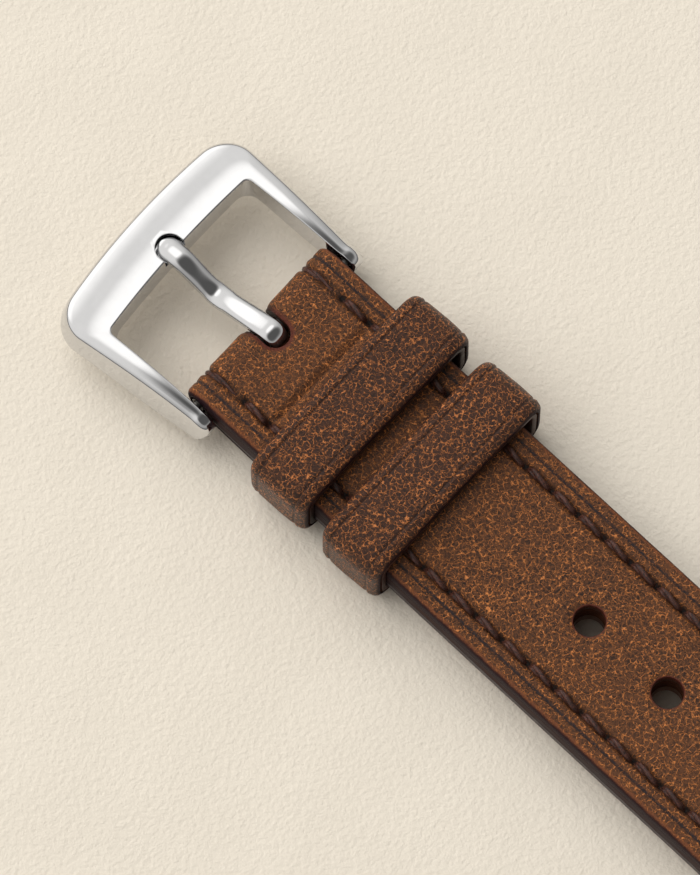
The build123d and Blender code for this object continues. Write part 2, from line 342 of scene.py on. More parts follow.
def copy_at(obj: Piece, offset: Point) -> Piece:
    """A copy with its own mesh, moved by an offset in millimetres.

    Args:
        obj: The piece.
        offset: How far the copy is moved.

    Returns:
        The copy.
    """
    twin = obj.copy()
    twin.data = obj.data.copy()
    bpy.context.scene.collection.objects.link(twin)
    twin.data.transform(Matrix.Translation(Vector(offset) * MM))
    return twin


# Materials


class NodeGraph:
    """A node tree under construction, with short calls for its common nodes."""

    def __init__(self, tree: bpy.types.NodeTree, coordinates: str) -> None:
        """Empty the tree and take the named coordinates.

        Args:
            tree: The node tree.
            coordinates: Blender's name for the coordinates.
        """
        self.tree = tree
        tree.nodes.clear()
        self.coords = self.node("ShaderNodeTexCoord").outputs[coordinates]
        self.x, self.y, self.z = self.node("ShaderNodeSeparateXYZ", {"Vector": self.coords}).outputs

    def feed(self, socket: Socket, value: object) -> None:
        """Link a socket to another, or set its value.

        Args:
            socket: The socket that is fed.
            value: Another socket, or a plain value.
        """
        if isinstance(value, Socket):
            self.tree.links.new(value, socket)
        else:
            socket.default_value = value

    def node(self, kind: str, inputs: dict | None = None, **settings: object) -> bpy.types.Node:
        """Add a node with its settings and inputs.

        Args:
            kind: Blender's name for the node.
            inputs: Sockets or values by the input's name or number.
            settings: The node's own settings by name.

        Returns:
            The node.
        """
        node = self.tree.nodes.new(kind)
        for key, value in settings.items():
            setattr(node, key, value)
        for key, value in (inputs or {}).items():
            self.feed(node.inputs[key], value)
        return node

    def scaled(self, stretch: Point, vector: Socket | None = None) -> Socket:
        """The coordinates, stretched along each axis."""
        inputs = {"Vector": vector or self.coords, "Scale": stretch}
        return self.node("ShaderNodeMapping", inputs).outputs[0]

    def noise(
        self, size: float, detail: float = 2.0, rough: float = 0.5, vector: Socket | None = None
    ) -> Socket:
        """Noise with features of a size in millimetres, about 0.3 to 0.7."""
        inputs = {"Scale": 1 / (size * MM), "Detail": detail, "Roughness": rough}
        return self.node("ShaderNodeTexNoise", {"Vector": vector or self.coords, **inputs}).outputs["Fac"]

    def warped(self, size: float, amount: float, vector: Socket | None = None) -> Socket:
        """Coordinates pushed about by noise: feature size and amount in millimetres.

        Args:
            size: Size of the noise's features.
            amount: How far it pushes.
            vector: Coordinates to start from, in place of the object's own.

        Returns:
            The pushed coordinates.
        """
        start = vector or self.coords
        inputs = {"Vector": start, "Scale": 1 / (size * MM), "Detail": 2.0}
        colour = self.node("ShaderNodeTexNoise", inputs).outputs["Color"]
        step = "ShaderNodeVectorMath"
        centred = self.node(step, {0: colour, 1: (0.5, 0.5, 0.5)}, operation="SUBTRACT").outputs[0]
        push = self.node(step, {0: centred, "Scale": 2 * amount * MM}, operation="SCALE").outputs[0]
        return self.node(step, {0: start, 1: push}, operation="ADD").outputs[0]

    def cells(self, size: float, vector: Socket | None = None, edges: bool = True) -> Socket:
        """Distance to the borders, or to the centres, of cells of a size in millimetres.

        Args:
            size: Size of a cell.
            vector: Coordinates to start from, in place of the object's own.
            edges: False to measure from the centres.

        Returns:
            The distance, as a share of a cell.
        """
        feature = "DISTANCE_TO_EDGE" if edges else "F1"
        inputs = {"Vector": vector or self.coords, "Scale": 1 / (size * MM)}
        return self.node("ShaderNodeTexVoronoi", inputs, feature=feature).outputs["Distance"]

    def math(self, operation: str, *values: Number) -> Socket:
        """One arithmetic step."""
        return self.node("ShaderNodeMath", dict(enumerate(values)), operation=operation).outputs[0]

    def plus(self, first: Number, second: Number) -> Socket:
        """The sum of two numbers."""
        return self.math("ADD", first, second)

    def minus(self, first: Number, second: Number) -> Socket:
        """The first number less the second."""
        return self.math("SUBTRACT", first, second)

    def times(self, first: Number, second: Number) -> Socket:
        """The product of two numbers."""
        return self.math("MULTIPLY", first, second)

    def size_of(self, value: Number) -> Socket:
        """A number without its sign."""
        return self.math("ABSOLUTE", value)

    def length(self, first: Number, second: Number) -> Socket:
        """The length of a line from its two sides."""
        return self.math("SQRT", self.plus(self.math("POWER", first, 2.0), self.math("POWER", second, 2.0)))

    def between(
        self, value: Number, low: float, high: float, start: Number = 0.0, end: Number = 1.0
    ) -> Socket:
        """Map low..high to start..end, eased and held at both ends."""
        inputs = {"Value": value, "From Min": low, "From Max": high, "To Min": start, "To Max": end}
        return self.node("ShaderNodeMapRange", inputs, interpolation_type="SMOOTHSTEP").outputs[0]

    def mix(self, share: Number, first: Tint, second: Tint) -> Socket:
        """Blend two colours."""
        node = self.node("ShaderNodeMix", {0: share, 6: first, 7: second}, data_type="RGBA")
        return node.outputs[2]

    def blend(self, share: Number, first: Number, second: Number) -> Socket:
        """Blend two numbers."""
        return self.node("ShaderNodeMix", {0: share, 2: first, 3: second}).outputs[0]

    def bump(
        self, height: Number, depth: float, strength: float = 1.0, normal: Socket | None = None
    ) -> Socket:
        """A bump of a depth in millimetres, over an earlier bump if given.

        Args:
            height: The relief, where 1 is the full depth.
            depth: That depth.
            strength: Share of the bump that shows.
            normal: The earlier bump.

        Returns:
            The bumped normal.
        """
        inputs = {"Height": height, "Distance": depth * MM, "Strength": strength}
        if normal is not None:
            inputs["Normal"] = normal
        return self.node("ShaderNodeBump", inputs).outputs[0]

    def distance_to_axis(self, x: float, slot: bool) -> Socket:
        """Distance in millimetres from an upright axis at x, or from the slot that ends round it.

        Args:
            x: The axis's place in millimetres.
            slot: True where a slot runs from the axis towards -X.

        Returns:
            The distance in millimetres.
        """
        off = self.minus(self.times(self.x, 1 / MM), x)
        reach = self.math("MAXIMUM", off, 0.0) if slot else self.size_of(off)
        return self.length(self.times(self.y, 1 / MM), reach)


class Recipe(NodeGraph):
    """A material under construction, with one principled shader."""

    def __init__(self, name: str) -> None:
        """Make the empty material.

        Args:
            name: The material's name.
        """
        self.material = bpy.data.materials.new(name)
        self.material.use_nodes = True
        super().__init__(self.material.node_tree, "Object")
        self.shader = self.node("ShaderNodeBsdfPrincipled")
        self.node("ShaderNodeOutputMaterial", {"Surface": self.shader.outputs["BSDF"]})

    def set(self, **inputs: object) -> None:
        """Set or link the shader's inputs, named with underscores for spaces."""
        for key, value in inputs.items():
            self.feed(self.shader.inputs[key.replace("_", " ")], value)


Shading = Callable[[Recipe], Socket]


@dataclass(frozen=True)
class Rim:
    """A hole's burnished rim, in millimetres: its axis, its radius and how far the burnish reaches; lower in
    the hole's wall the colour turns to painted shade.
    """

    x: float
    radius: float
    lip: float
    slot: bool = False


@dataclass(frozen=True)
class CrackledLeather:
    """Dark waxed leather with a fine light crackle, worn paler in soft clouds.

    Dark and middle are the leather between the strokes of the crackle, and ridge is the strokes' colour; dark
    also paints shade in the seam's channel and low in hole walls, and awl paints shade in the awl holes.
    The seam, its awl holes and its crease are drawn only where seam_y is given.
    """

    name: str
    crackle: float = 0.50
    dark: Colour = srgb(29, 16, 9)
    ridge: Colour = srgb(222, 138, 74)
    middle: Colour = srgb(97, 58, 31)
    paint: Colour = srgb(38, 21, 25)
    burnished: Colour = srgb(94, 42, 27)
    shine: float = 0.50
    seam_y: float = 0.0
    crease_y: float = 0.0
    first_awl: float = 0.0
    lean: float = 0.0
    lean_x: Spot = (-36.5, -28.5)
    tan: Colour = srgb(132, 72, 38)
    wax: Colour = srgb(38, 31, 33)
    awl: Colour = srgb(14, 9, 9)
    waxed: float = 1.0
    pitch: float = 1.0

    def worked(self, r: Recipe, colour: Socket) -> Socket:
        """Paint shade into the seam's channel and awl holes, and wax the crease beside them.

        Args:
            r: The recipe.
            colour: The colour so far.

        Returns:
            The colour with the seam.
        """
        side = r.times(r.size_of(r.y), 1 / MM)
        away = r.size_of(r.minus(side, self.seam_y))
        full, none = self.lean_x
        leaning = r.times(r.between(r.x, full * MM, none * MM, self.lean, 0.0), r.y)
        x = r.times(r.plus(r.x, leaning), 1 / MM)
        along = r.math("DIVIDE", r.minus(x, self.first_awl), self.pitch)
        apart = r.times(r.math("PINGPONG", along, 0.5), self.pitch)
        hole = r.length(away, r.times(apart, 0.8))
        # Painted shade in the seam's channel beside the thread.
        colour = r.mix(r.between(away, 0.28, 0.50, 0.45, 0.0), colour, self.dark)
        # Painted shade in the awl holes, in the awl colour.
        colour = r.mix(r.between(hole, 0.16, 0.38, 0.90, 0.0), colour, self.awl)
        ragged = r.plus(side, r.times(r.noise(0.5, 2.0), 0.4))
        colour = r.mix(r.between(ragged, 7.74, 7.92, 0.0, 0.55), colour, self.tan)
        return self.creased(r, colour, r.size_of(r.minus(side, self.crease_y)))

    def creased(self, r: Recipe, colour: Socket, away: Socket) -> Socket:
        """Draw a waxed crease where the distance to it, in millimetres, is small.

        Args:
            r: The recipe.
            colour: The colour so far.
            away: Distance to the crease.

        Returns:
            The colour with the crease.
        """
        dotted = r.between(r.noise(0.16, 2.0), 0.36, 0.56, self.waxed - 0.5, self.waxed)
        share = r.times(r.between(away, 0.06, 0.17, 1.0, 0.0), dotted)
        return r.mix(share, colour, self.wax)

    def material(self, edge: Shading, rims: Sequence[Rim] = (), crease: Shading | None = None) -> Material:
        """Build the shader.

        Args:
            edge: Gives the share of edge paint from a recipe's coordinates.
            rims: The holes whose rims and upper walls are burnished, with painted shade lower in the walls.
            crease: Gives the distance to a waxed crease, in millimetres.

        Returns:
            The finished material.
        """
        r = Recipe(self.name)
        net = r.cells(self.crackle, r.warped(0.26, 0.15, r.warped(0.8, 0.22)))
        bent = r.warped(0.22, 0.16, r.warped(0.7, 0.2, r.scaled((1.0, 1.15, 1.0))))
        worm = r.cells(self.crackle * 0.72, bent)
        grit = r.noise(0.10, 3.0, 0.65)
        clouds = r.noise(9.0, 3.0, 0.55)
        broken = r.between(r.noise(0.30, 2.0), 0.42, 0.58)
        strokes = r.times(r.between(net, 0.014, 0.074, 1.0, 0.0), r.blend(broken, 0.12, 1.0))
        gaps = r.between(r.noise(0.24, 2.0), 0.48, 0.62, 0.0, 0.8)
        short = r.times(r.between(worm, 0.014, 0.078, 1.0, 0.0), gaps)
        strokes = r.math("MAXIMUM", strokes, short)
        cell = r.minus(1.0, strokes)
        painted = edge(r)
        worn = r.between(clouds, 0.35, 0.68, 0.0, 0.35)
        depth = r.between(r.noise(0.17, 3.0, 0.6), 0.36, 0.60)
        colour = r.mix(r.blend(worn, depth, 1.0), self.dark, self.middle)
        colour = r.mix(r.times(strokes, r.between(grit, 0.28, 0.52, 0.55, 1.0)), colour, self.ridge)
        if self.seam_y:
            colour = self.worked(r, colour)
        if crease:
            colour = self.creased(r, colour, crease(r))
        for rim in rims:
            away = r.distance_to_axis(rim.x, rim.slot)
            near = r.between(away, rim.radius + 0.2 * rim.lip, rim.radius + rim.lip, 1.0, 0.0)
            # Painted shade: the hole's wall turns to the dark colour towards its foot.
            inside = r.between(r.z, 2.5 * MM, 3.25 * MM, 0.85, 0.0)
            colour = r.mix(near, colour, r.mix(inside, self.burnished, self.dark))
        colour = r.mix(painted, colour, self.paint)
        rough = r.between(grit, 0.3, 0.7, self.shine - 0.04, self.shine + 0.10)
        rough = r.blend(painted, rough, 0.52)
        height = r.minus(r.times(grit, 0.45), r.times(cell, 0.62))
        height = r.plus(height, r.times(r.noise(0.05, 2.0), 0.15))
        height = r.blend(painted, height, r.times(grit, 0.25))
        normal = r.bump(height, 0.14, 1.0, r.bump(clouds, 0.16, 0.6))
        r.set(Base_Color=colour, Roughness=rough, Normal=normal, Coat_Roughness=0.34)
        r.set(Coat_Weight=r.blend(painted, 0.14, 0.0), Specular_IOR_Level=r.blend(painted, 0.26, 0.10))
        return r.material


@dataclass(frozen=True)
class SmoothLining:
    """Smooth calf lining: fine pores, faint creases across and a soft polish.

    Its sides carry paint from painted_from, in millimetres off the strap's middle line, outwards.
    """

    name: str = "lining leather"
    pale: Colour = srgb(126, 84, 56)
    deep: Colour = srgb(88, 54, 36)
    paint: Colour = srgb(38, 22, 26)
    painted_from: float = 7.85

    def material(self) -> Material:
        """Build the shader.

        Returns:
            The finished material.
        """
        r = Recipe(self.name)
        pores = r.between(r.cells(0.24, r.warped(0.4, 0.08), edges=False), 0.05, 0.4)
        creases = r.noise(0.8, 3.0, 0.6, r.scaled((1.0, 0.18, 1.0)))
        clouds = r.noise(7.0, 3.0)
        colour = r.mix(r.between(clouds, 0.35, 0.65), self.pale, self.deep)
        colour = r.mix(r.between(creases, 0.5, 0.72, 0.0, 0.45), colour, self.deep)
        colour = r.mix(r.between(pores, 0.0, 0.5, 0.4, 0.0), colour, self.deep)
        reach = r.plus(r.size_of(r.y), r.times(r.noise(1.5), 0.00015))
        painted = r.between(reach, (self.painted_from - 0.05) * MM, (self.painted_from + 0.1) * MM)
        colour = r.mix(painted, colour, self.paint)
        height = r.plus(r.times(pores, 0.6), r.times(creases, 0.9))
        rough = r.between(creases, 0.3, 0.7, 0.5, 0.38)
        r.set(Base_Color=colour, Roughness=rough, Normal=r.bump(height, 0.03, 0.8))
        return r.material


@dataclass(frozen=True)
class PaintedBoard:
    """Pressed leather board, fibrous where cut and sealed with dark paint at the sides."""

    name: str = "padding board"
    fibre: Colour = srgb(106, 66, 44)
    deep: Colour = srgb(58, 30, 22)
    paint: Colour = srgb(38, 22, 26)

    def material(self) -> Material:
        """Build the shader.

        Returns:
            The finished material.
        """
        r = Recipe(self.name)
        fibres = r.noise(0.22, 4.0, 0.65, r.scaled((0.4, 1.0, 2.2)))
        brushed = r.noise(0.9, 3.0, 0.6, r.scaled((0.25, 1.0, 1.6)))
        colour = r.mix(r.between(fibres, 0.35, 0.65), self.fibre, self.deep)
        sides = r.between(r.size_of(r.y), 7.8 * MM, 7.9 * MM)
        colour = r.mix(sides, colour, r.mix(r.between(brushed, 0.4, 0.7), self.paint, self.deep))
        rough = r.blend(sides, 0.8, r.between(brushed, 0.3, 0.7, 0.46, 0.62))
        height = r.plus(r.times(fibres, 0.5), brushed)
        r.set(Base_Color=colour, Roughness=rough, Normal=r.bump(height, 0.03, 0.7))
        r.set(Specular_IOR_Level=0.10)
        return r.material


@dataclass(frozen=True)
class WaxedThread:
    """Waxed two-ply thread: fine filaments, darker where the wax is thick."""

    name: str = "waxed thread"
    deep: Colour = srgb(20, 11, 9)
    bright: Colour = srgb(96, 57, 45)

    def material(self) -> Material:
        """Build the shader.

        Returns:
            The finished material.
        """
        r = Recipe(self.name)
        filament = r.noise(0.07, 3.0, 0.6, r.scaled((0.35, 1.0, 1.0)))
        wax = r.noise(0.6, 3.0)
        colour = r.mix(r.between(filament, 0.35, 0.68), self.deep, self.bright)
        colour = r.mix(r.between(wax, 0.45, 0.7, 0.0, 0.4), colour, self.deep)
        rough = r.between(wax, 0.3, 0.7, 0.26, 0.40)
        r.set(Base_Color=colour, Roughness=rough, Normal=r.bump(filament, 0.03, 0.9))
        r.set(Specular_IOR_Level=0.36)
        return r.material


@dataclass(frozen=True)
class PolishedSteel:
    """Mirror-polished steel with the faint waviness and hairlines of a hand polish."""

    name: str
    tone: Colour = srgb(218, 218, 219)
    dull: float = 0.045
    hairline: float = 0.10

    def material(self) -> Material:
        """Build the shader.

        Returns:
            The finished material.
        """
        r = Recipe(self.name)
        smears = r.noise(2.4, 3.0, 0.6)
        lines = r.noise(0.16, 2.0, 0.5, r.scaled((0.12, 1.0, 1.0)))
        ripple = r.noise(3.0, 2.0)
        shade = tuple(c * 0.96 for c in self.tone[:3]) + (1.0,)
        colour = r.mix(r.between(smears, 0.35, 0.7, 0.0, 1.0), self.tone, shade)
        brushed = r.between(lines, 0.5, 0.75, 0.0, self.hairline * 0.2)
        rough = r.plus(r.between(smears, 0.35, 0.7, self.dull, self.dull + 0.02), brushed)
        normal = r.bump(lines, 0.0012 * self.hairline * 10, 0.35, r.bump(ripple, 0.006, 0.25))
        r.set(Base_Color=colour, Metallic=1.0, Roughness=rough, Normal=normal)
        return r.material


@dataclass(frozen=True)
class TexturedPaper:
    """Pale paper with a fine tooth, under the strap."""

    name: str = "paper"
    pale: Colour = srgb(231, 222, 207)
    deep: Colour = srgb(229, 220, 205)

    def material(self) -> Material:
        """Build the shader.

        Returns:
            The finished material.
        """
        r = Recipe(self.name)
        tooth = r.noise(0.42, 3.0, 0.55)
        waves = r.noise(7.0, 2.0)
        colour = r.mix(r.between(waves, 0.35, 0.65), self.pale, self.deep)
        height = r.times(tooth, 0.56)
        r.set(Base_Color=colour, Roughness=0.85, Normal=r.bump(height, 0.24, 0.75), Specular_IOR_Level=0.2)
        return r.material


def dress(obj: Piece, material: Material, body: Body, slot: Slot, *nodes: str) -> None:
    """Give a finished piece its material and body, and let it stand for CAD nodes.

    Args:
        obj: The piece.
        material: Its finish.
        body: The CAD body that carries it.
        slot: The record's material slot; not used.
        nodes: CAD nodes that it replaces.
    """
    obj.data.materials.clear()
    obj.data.materials.append(material)
    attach(obj, body.value)
    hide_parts(*nodes)
    LOG.info("%s: %d faces on %s", obj.name, len(obj.data.polygons), body.value)


# The strap


@dataclass
class StrapBody:
    """The folded skin, padding and lining, in millimetres."""

    half_width: float = 8.0
    bar_x: float = 37.5
    axis_z: float = 1.55
    fold_radius: float = 1.75
    tunnel_radius: float = 0.8
    top_z: float = 3.3
    skin: float = 1.1
    lining: float = 1.0
    crown: float = 0.35
    pad_half: float = 5.25
    pad_start: float = 6.1
    pad_ramp: float = 3.0
    nose: float = 0.3
    flap: float = 6.4
    flap_flat: float = 2.0
    flap_tip: float = 0.2
    row_y: float = 5.7
    crease_y: float = 6.85
    edge_round: float = 0.45
    hole_radius: float = 1.28
    holes: tuple[float, float] = (-3.1, 5.15)
    slot_half: float = 1.2
    slot_end: float = 1.82
    slot_ease: float = 0.35
    lean: float = 0.055
    lean_x: Spot = (-36.5, -28.5)
    first_stitch: float = 2.6
    pitch: float = 2.8
    stitches: list[float] = field(default_factory=list)

    def __post_init__(self) -> None:
        """Place the awl holes."""
        reach = self.bar_x - self.first_stitch
        count = round(2 * reach / self.pitch)
        self.stitches = [-reach + 2 * reach * i / count for i in range(count + 1)]

    def wrist_z(self, from_bar: float) -> float:
        """Height of the wrist side at a distance from the nearest bar.

        Args:
            from_bar: That distance in millimetres.

        Returns:
            The height in millimetres.
        """
        low = self.axis_z - self.fold_radius
        share = (from_bar - self.flap_flat) / (self.flap - self.flap_flat)
        return low * (1 - min(max(share, 0.0), 1.0))

    def pad_rise(self, from_bar: float, across: float) -> float:
        """Height of the padded crown above the flat margins.

        Args:
            from_bar: Distance from the nearest bar.
            across: Place across the sheet.

        Returns:
            The height in millimetres.
        """
        if abs(across) >= self.pad_half or from_bar <= self.pad_start:
            return 0.0
        ramp = smooth(self.pad_start - 0.6, self.pad_start + self.pad_ramp, from_bar)
        return self.crown * ramp * (1 - (abs(across) / self.pad_half) ** 3.0)

    @property
    def slot_x(self) -> float:
        """Centre of the tongue slot's round end."""
        return -self.bar_x + self.slot_end - self.slot_half

    def slot_distance(self, along: float, across: float) -> float:
        """Distance outside the tongue slot's outline, for points on the buckle fold's top.

        Args:
            along: Place along the sheet, continued round the folds.
            across: Place across the sheet.

        Returns:
            The distance in millimetres, negative inside the slot.
        """
        if along < self.slot_x:
            return abs(across) - self.slot_half
        return math.hypot(along - self.slot_x, across) - self.slot_half

    def seam(self, along: float, across: float) -> float:
        """Height of the stitched channel with its awl holes and raised lips.

        Args:
            along: Place along the sheet, continued round the folds.
            across: Place across the sheet.

        Returns:
            The height in millimetres.
        """
        side, from_bar = abs(across), self.bar_x - abs(along)
        depth = 0.22 + 0.16 * smooth(1.5, 0.0, from_bar)
        height = -depth * bell(side - self.row_y, 0.34)
        for node in self.stitches:
            if abs(along - node) < 1.4:
                height -= 0.26 * bell(math.hypot(along - node, 1.2 * (side - self.row_y)), 0.34)
        outer_lip, inner_lip = bell(side - 6.3, 0.22), bell(side - 5.05, 0.3)
        return height + 0.05 * outer_lip + 0.04 * inner_lip

    def dips(self, along: float, across: float) -> float:
        """How far the leather dips beside its holes and its slot, as a negative height.

        Args:
            along: Place along the sheet, continued round the folds.
            across: Place across the sheet.

        Returns:
            The height in millimetres, zero or less.
        """
        height = 0.0
        for hole in self.holes:
            away = math.hypot(along - hole, across) - self.hole_radius
            if away < 1.2:
                height -= 0.16 * bell(max(away, 0.0), 0.26)
        if along < -self.bar_x + 4:
            height -= 0.20 * bell(max(self.slot_distance(along, across), 0.0), 0.34)
        return height

    def relief(self, along: float, across: float) -> float:
        """Height of the worked leather surface over the plain sheet.

        Args:
            along: Place along the sheet, continued round the folds.
            across: Place across the sheet.

        Returns:
            The height in millimetres, negative where pressed in.
        """
        side, from_bar = abs(across), self.bar_x - abs(along)
        height = self.pad_rise(from_bar, across) + self.seam(along, across) + self.dips(along, across)
        height -= 0.07 * bell(side - self.crease_y, 0.11)
        if from_bar > 0:
            cross_crease = bell(from_bar - self.pad_start + 0.5, 0.24)
            height -= 0.24 * cross_crease * smooth(5.4, 4.9, side)
        over = side - (self.half_width - self.edge_round)
        if over > 0:
            height -= self.edge_round - math.sqrt(max(self.edge_round**2 - over**2, 0.0))
        long_waves = noise.noise(Vector((along * 0.35, across * 0.5, 2.0)))
        short_waves = noise.noise(Vector((along * 1.1, across * 1.3, 7.0)))
        return height + 0.035 * long_waves + 0.02 * short_waves

    def leaning(self, x: float, across: float) -> float:
        """How far the buckle's fold leans along the strap, as the skewed buckle pulls it."""
        full, none = self.lean_x
        return -self.lean * across * smooth(none, full, x)

    def place(self, along: float, across: float, height: float, inner: bool) -> Point:
        """A point of the sheet: flat on top, round each bar, then back under as a flap."""
        x, y, z = self.laid(along, across, height, inner)
        return (x, y, z) if inner else (x + self.leaning(x, y), y, z)

    def laid(self, along: float, across: float, height: float, inner: bool) -> Point:
        """A point of the sheet before its fold leans.

        Args:
            along: Place along the sheet, continued round the folds.
            across: Place across the sheet.
            height: Height over the plain sheet, used on its outer side.
            inner: True for the sheet's inner side.

        Returns:
            The point in millimetres.
        """
        out = math.copysign(1.0, along)
        past = abs(along) - self.bar_x
        turn = math.pi * self.fold_radius
        if past <= 0:
            flat = smooth(0.0, self.nose, -past)
            low = -self.skin * flat - (self.fold_radius - self.tunnel_radius) * (1 - flat)
            return (along, across, self.top_z + (low + self.pad_rise(-past, across) if inner else height))
        if past < turn:
            angle = past / self.fold_radius
            radius = self.tunnel_radius if inner else self.fold_radius + height
            x = out * (self.bar_x + radius * math.sin(angle))
            return (x, across, self.axis_z + radius * math.cos(angle))
        back = past - turn
        upper = self.axis_z - self.tunnel_radius
        upper += (self.flap_tip - upper) * max(back - self.nose, 0.0) / (self.flap - self.nose)
        low = self.wrist_z(back)
        z = upper if inner else low - max(height, -0.5 * (upper - low))
        return (out * (self.bar_x - back), across, z)

    def stations(self) -> list[float]:
        """Places along the sheet, from one flap's tip to the other's.

        Returns:
            The places in order.
        """
        turn = math.pi * self.fold_radius
        half = [0.0]
        half += spread(0.27, self.bar_x - self.nose, 0.27)
        half += [self.bar_x - self.nose, self.bar_x - self.nose / 2]
        back = self.bar_x + turn
        half += spread(self.bar_x, back, 0.24)
        half += spread(back, back + self.flap, 0.5) + [back + self.flap]
        return [-s for s in reversed(half[1:])] + half

    def rows(self) -> list[float]:
        """Places across the sheet, closer together where it is worked.

        Returns:
            The places in order, from -Y to +Y.
        """
        runs = ((0.0, 1.9, 0.19), (1.9, 4.9, 0.34), (4.9, 6.5, 0.12), (6.5, 7.4, 0.075), (7.4, 8.0, 0.085))
        half = [y for start, end, step in runs for y in spread(start, end, step)] + [self.half_width]
        return [-y for y in reversed(half[1:])] + half

    def cutters(self, ease: float = 0.0) -> list[Piece]:
        """The punched holes and the tongue slot, which may reach further by an ease.

        Args:
            ease: How much further the slot reaches.

        Returns:
            One cutter for each opening.
        """
        round_x = self.slot_x + ease
        reach = round_x + self.bar_x + 3
        tools = [cylinder(self.hole_radius, 9, (x, 0, 2)) for x in self.holes]
        slot = cylinder(self.slot_half, 9, (round_x, 0, 2))
        settle(slot)
        with editing(slot):
            mesh = bmesh.from_edit_mesh(slot.data)
            for vert in mesh.verts:
                if vert.co.x < (round_x - 0.01) * MM:
                    vert.co.x -= reach * MM
            bmesh.update_edit_mesh(slot.data)
        return tools + [slot]

    def tunnels(self) -> list[Piece]:
        """The room for both sprung bars."""
        centres = [(x, 0, self.axis_z) for x in (-self.bar_x, self.bar_x)]
        return [cylinder(self.tunnel_radius, 20, centre, across=True) for centre in centres]

    def build_skin(self) -> Piece:
        """The folded top skin with its relief, slot and holes.

        Returns:
            The skin.
        """
        rows = self.rows()
        inner_rows = [self.half_width * (1 - i / 8) for i in range(17)]
        rings = []
        for along in self.stations():
            ring = [self.place(along, y, self.relief(along, y), False) for y in rows]
            ring += [self.place(along, y, 0.0, True) for y in inner_rows]
            rings.append(ring)
        skin = sheet_through("top_skin_leather", rings)
        cut(skin, self.cutters())
        clean(skin, 42)
        return skin

    def build_padding(self) -> Piece:
        """The crowned padding board between the skin and the lining.

        Returns:
            The board.
        """
        end = self.bar_x - self.nose
        low, high = self.lining, self.top_z - self.skin
        xs = [0.0] + spread(2.0, end - 5.8, 2.0) + [end - 5.8, end - 4.8, end - 3.8, end - 2.8, end]
        wide, ease = self.half_width, 0.07
        ys = [wide * i / 12 for i in range(12)] + [wide - ease]
        rings = []
        for x in [-x for x in reversed(xs[1:])] + xs:
            from_bar = self.bar_x - abs(x)
            ring = [(x, y, high + self.pad_rise(from_bar, y)) for y in [-y for y in reversed(ys[1:])] + ys]
            side = [(x, wide, high - ease), (x, wide, low + ease), (x, wide - ease, low)]
            ring += side + [(x, -y, z) for x, y, z in reversed(side)]
            rings.append(ring)
        padding = extrude_through("padding_board_core", rings)
        cut(padding, self.cutters(self.slot_ease) + self.tunnels())
        clean(padding)
        return padding

    def build_lining(self) -> Piece:
        """The wrist lining, bevelled over both flaps and grooved for the stitches.

        Returns:
            The lining.
        """
        end, tip = self.bar_x - self.nose, self.bar_x - self.flap
        root = self.axis_z - self.tunnel_radius
        top, ease = self.lining, 0.06
        inner = tip - 0.02
        xs = [end, tip + 3, tip, inner] + spread(inner - 0.3, 0.0, 1.4) + [0.0]
        half_rows = [0.0, 2.0, 4.0, 5.2, 5.35, 5.5, 5.7, 5.9, 6.05, 6.2, 7.4, 7.7, 7.88]
        rings = []
        for x in [-x for x in xs[:-1]] + [0.0] + list(reversed(xs[:-1])):
            reach = abs(x)
            sloped = root + (self.flap_tip - root) * (end - reach) / (end - tip)
            low = 0.0 if reach <= inner else sloped
            ring = [(x, -self.half_width, top - ease), (x, ease - self.half_width, top)]
            ring += [(x, self.half_width - ease, top), (x, self.half_width, top - ease)]
            side = [(x, self.half_width, low + 0.16)]
            for y in reversed(half_rows):
                groove = 0.12 * bell(y - self.row_y, 0.22) if reach <= inner else 0.0
                rim = 0.05 if y > 7.8 else 0.0
                side.append((x, y, low + groove + rim))
            ring += side + [(x, -y, z) for x, y, z in reversed(side[:-1])]
            rings.append(ring)
        lining = extrude_through("wrist_lining_leather", rings)
        cut(lining, self.cutters(self.slot_ease) + self.tunnels())
        clean(lining)
        return lining

    def edge_share(self, r: Recipe) -> Socket:
        """Where the strap's long edges carry paint: over the rounded edge, unevenly."""
        reach = r.plus(r.size_of(r.y), r.times(r.noise(1.2, 3.0), 0.00022))
        return r.between(reach, (self.half_width - 0.17) * MM, (self.half_width + 0.06) * MM)

    def build(self) -> None:
        """Build and dress the three layers."""
        grain = CrackledLeather(
            "grained leather",
            seam_y=self.row_y,
            crease_y=self.crease_y,
            first_awl=self.stitches[0],
            lean=self.lean,
            lean_x=self.lean_x,
            pitch=self.stitches[1] - self.stitches[0],
        )
        rims = [Rim(x, self.hole_radius, 0.14) for x in self.holes]
        rims.append(Rim(self.slot_x, self.slot_half, 0.5, slot=True))
        leather = grain.material(self.edge_share, rims)
        dress(self.build_skin(), leather, Body.STRAP, Slot.GRAINED_LEATHER, "top_skin")
        dress(self.build_padding(), PaintedBoard().material(), Body.STRAP, Slot.PADDING_BOARD, "padding")
        dress(self.build_lining(), SmoothLining().material(), Body.STRAP, Slot.LINING_LEATHER, "wrist_lining")


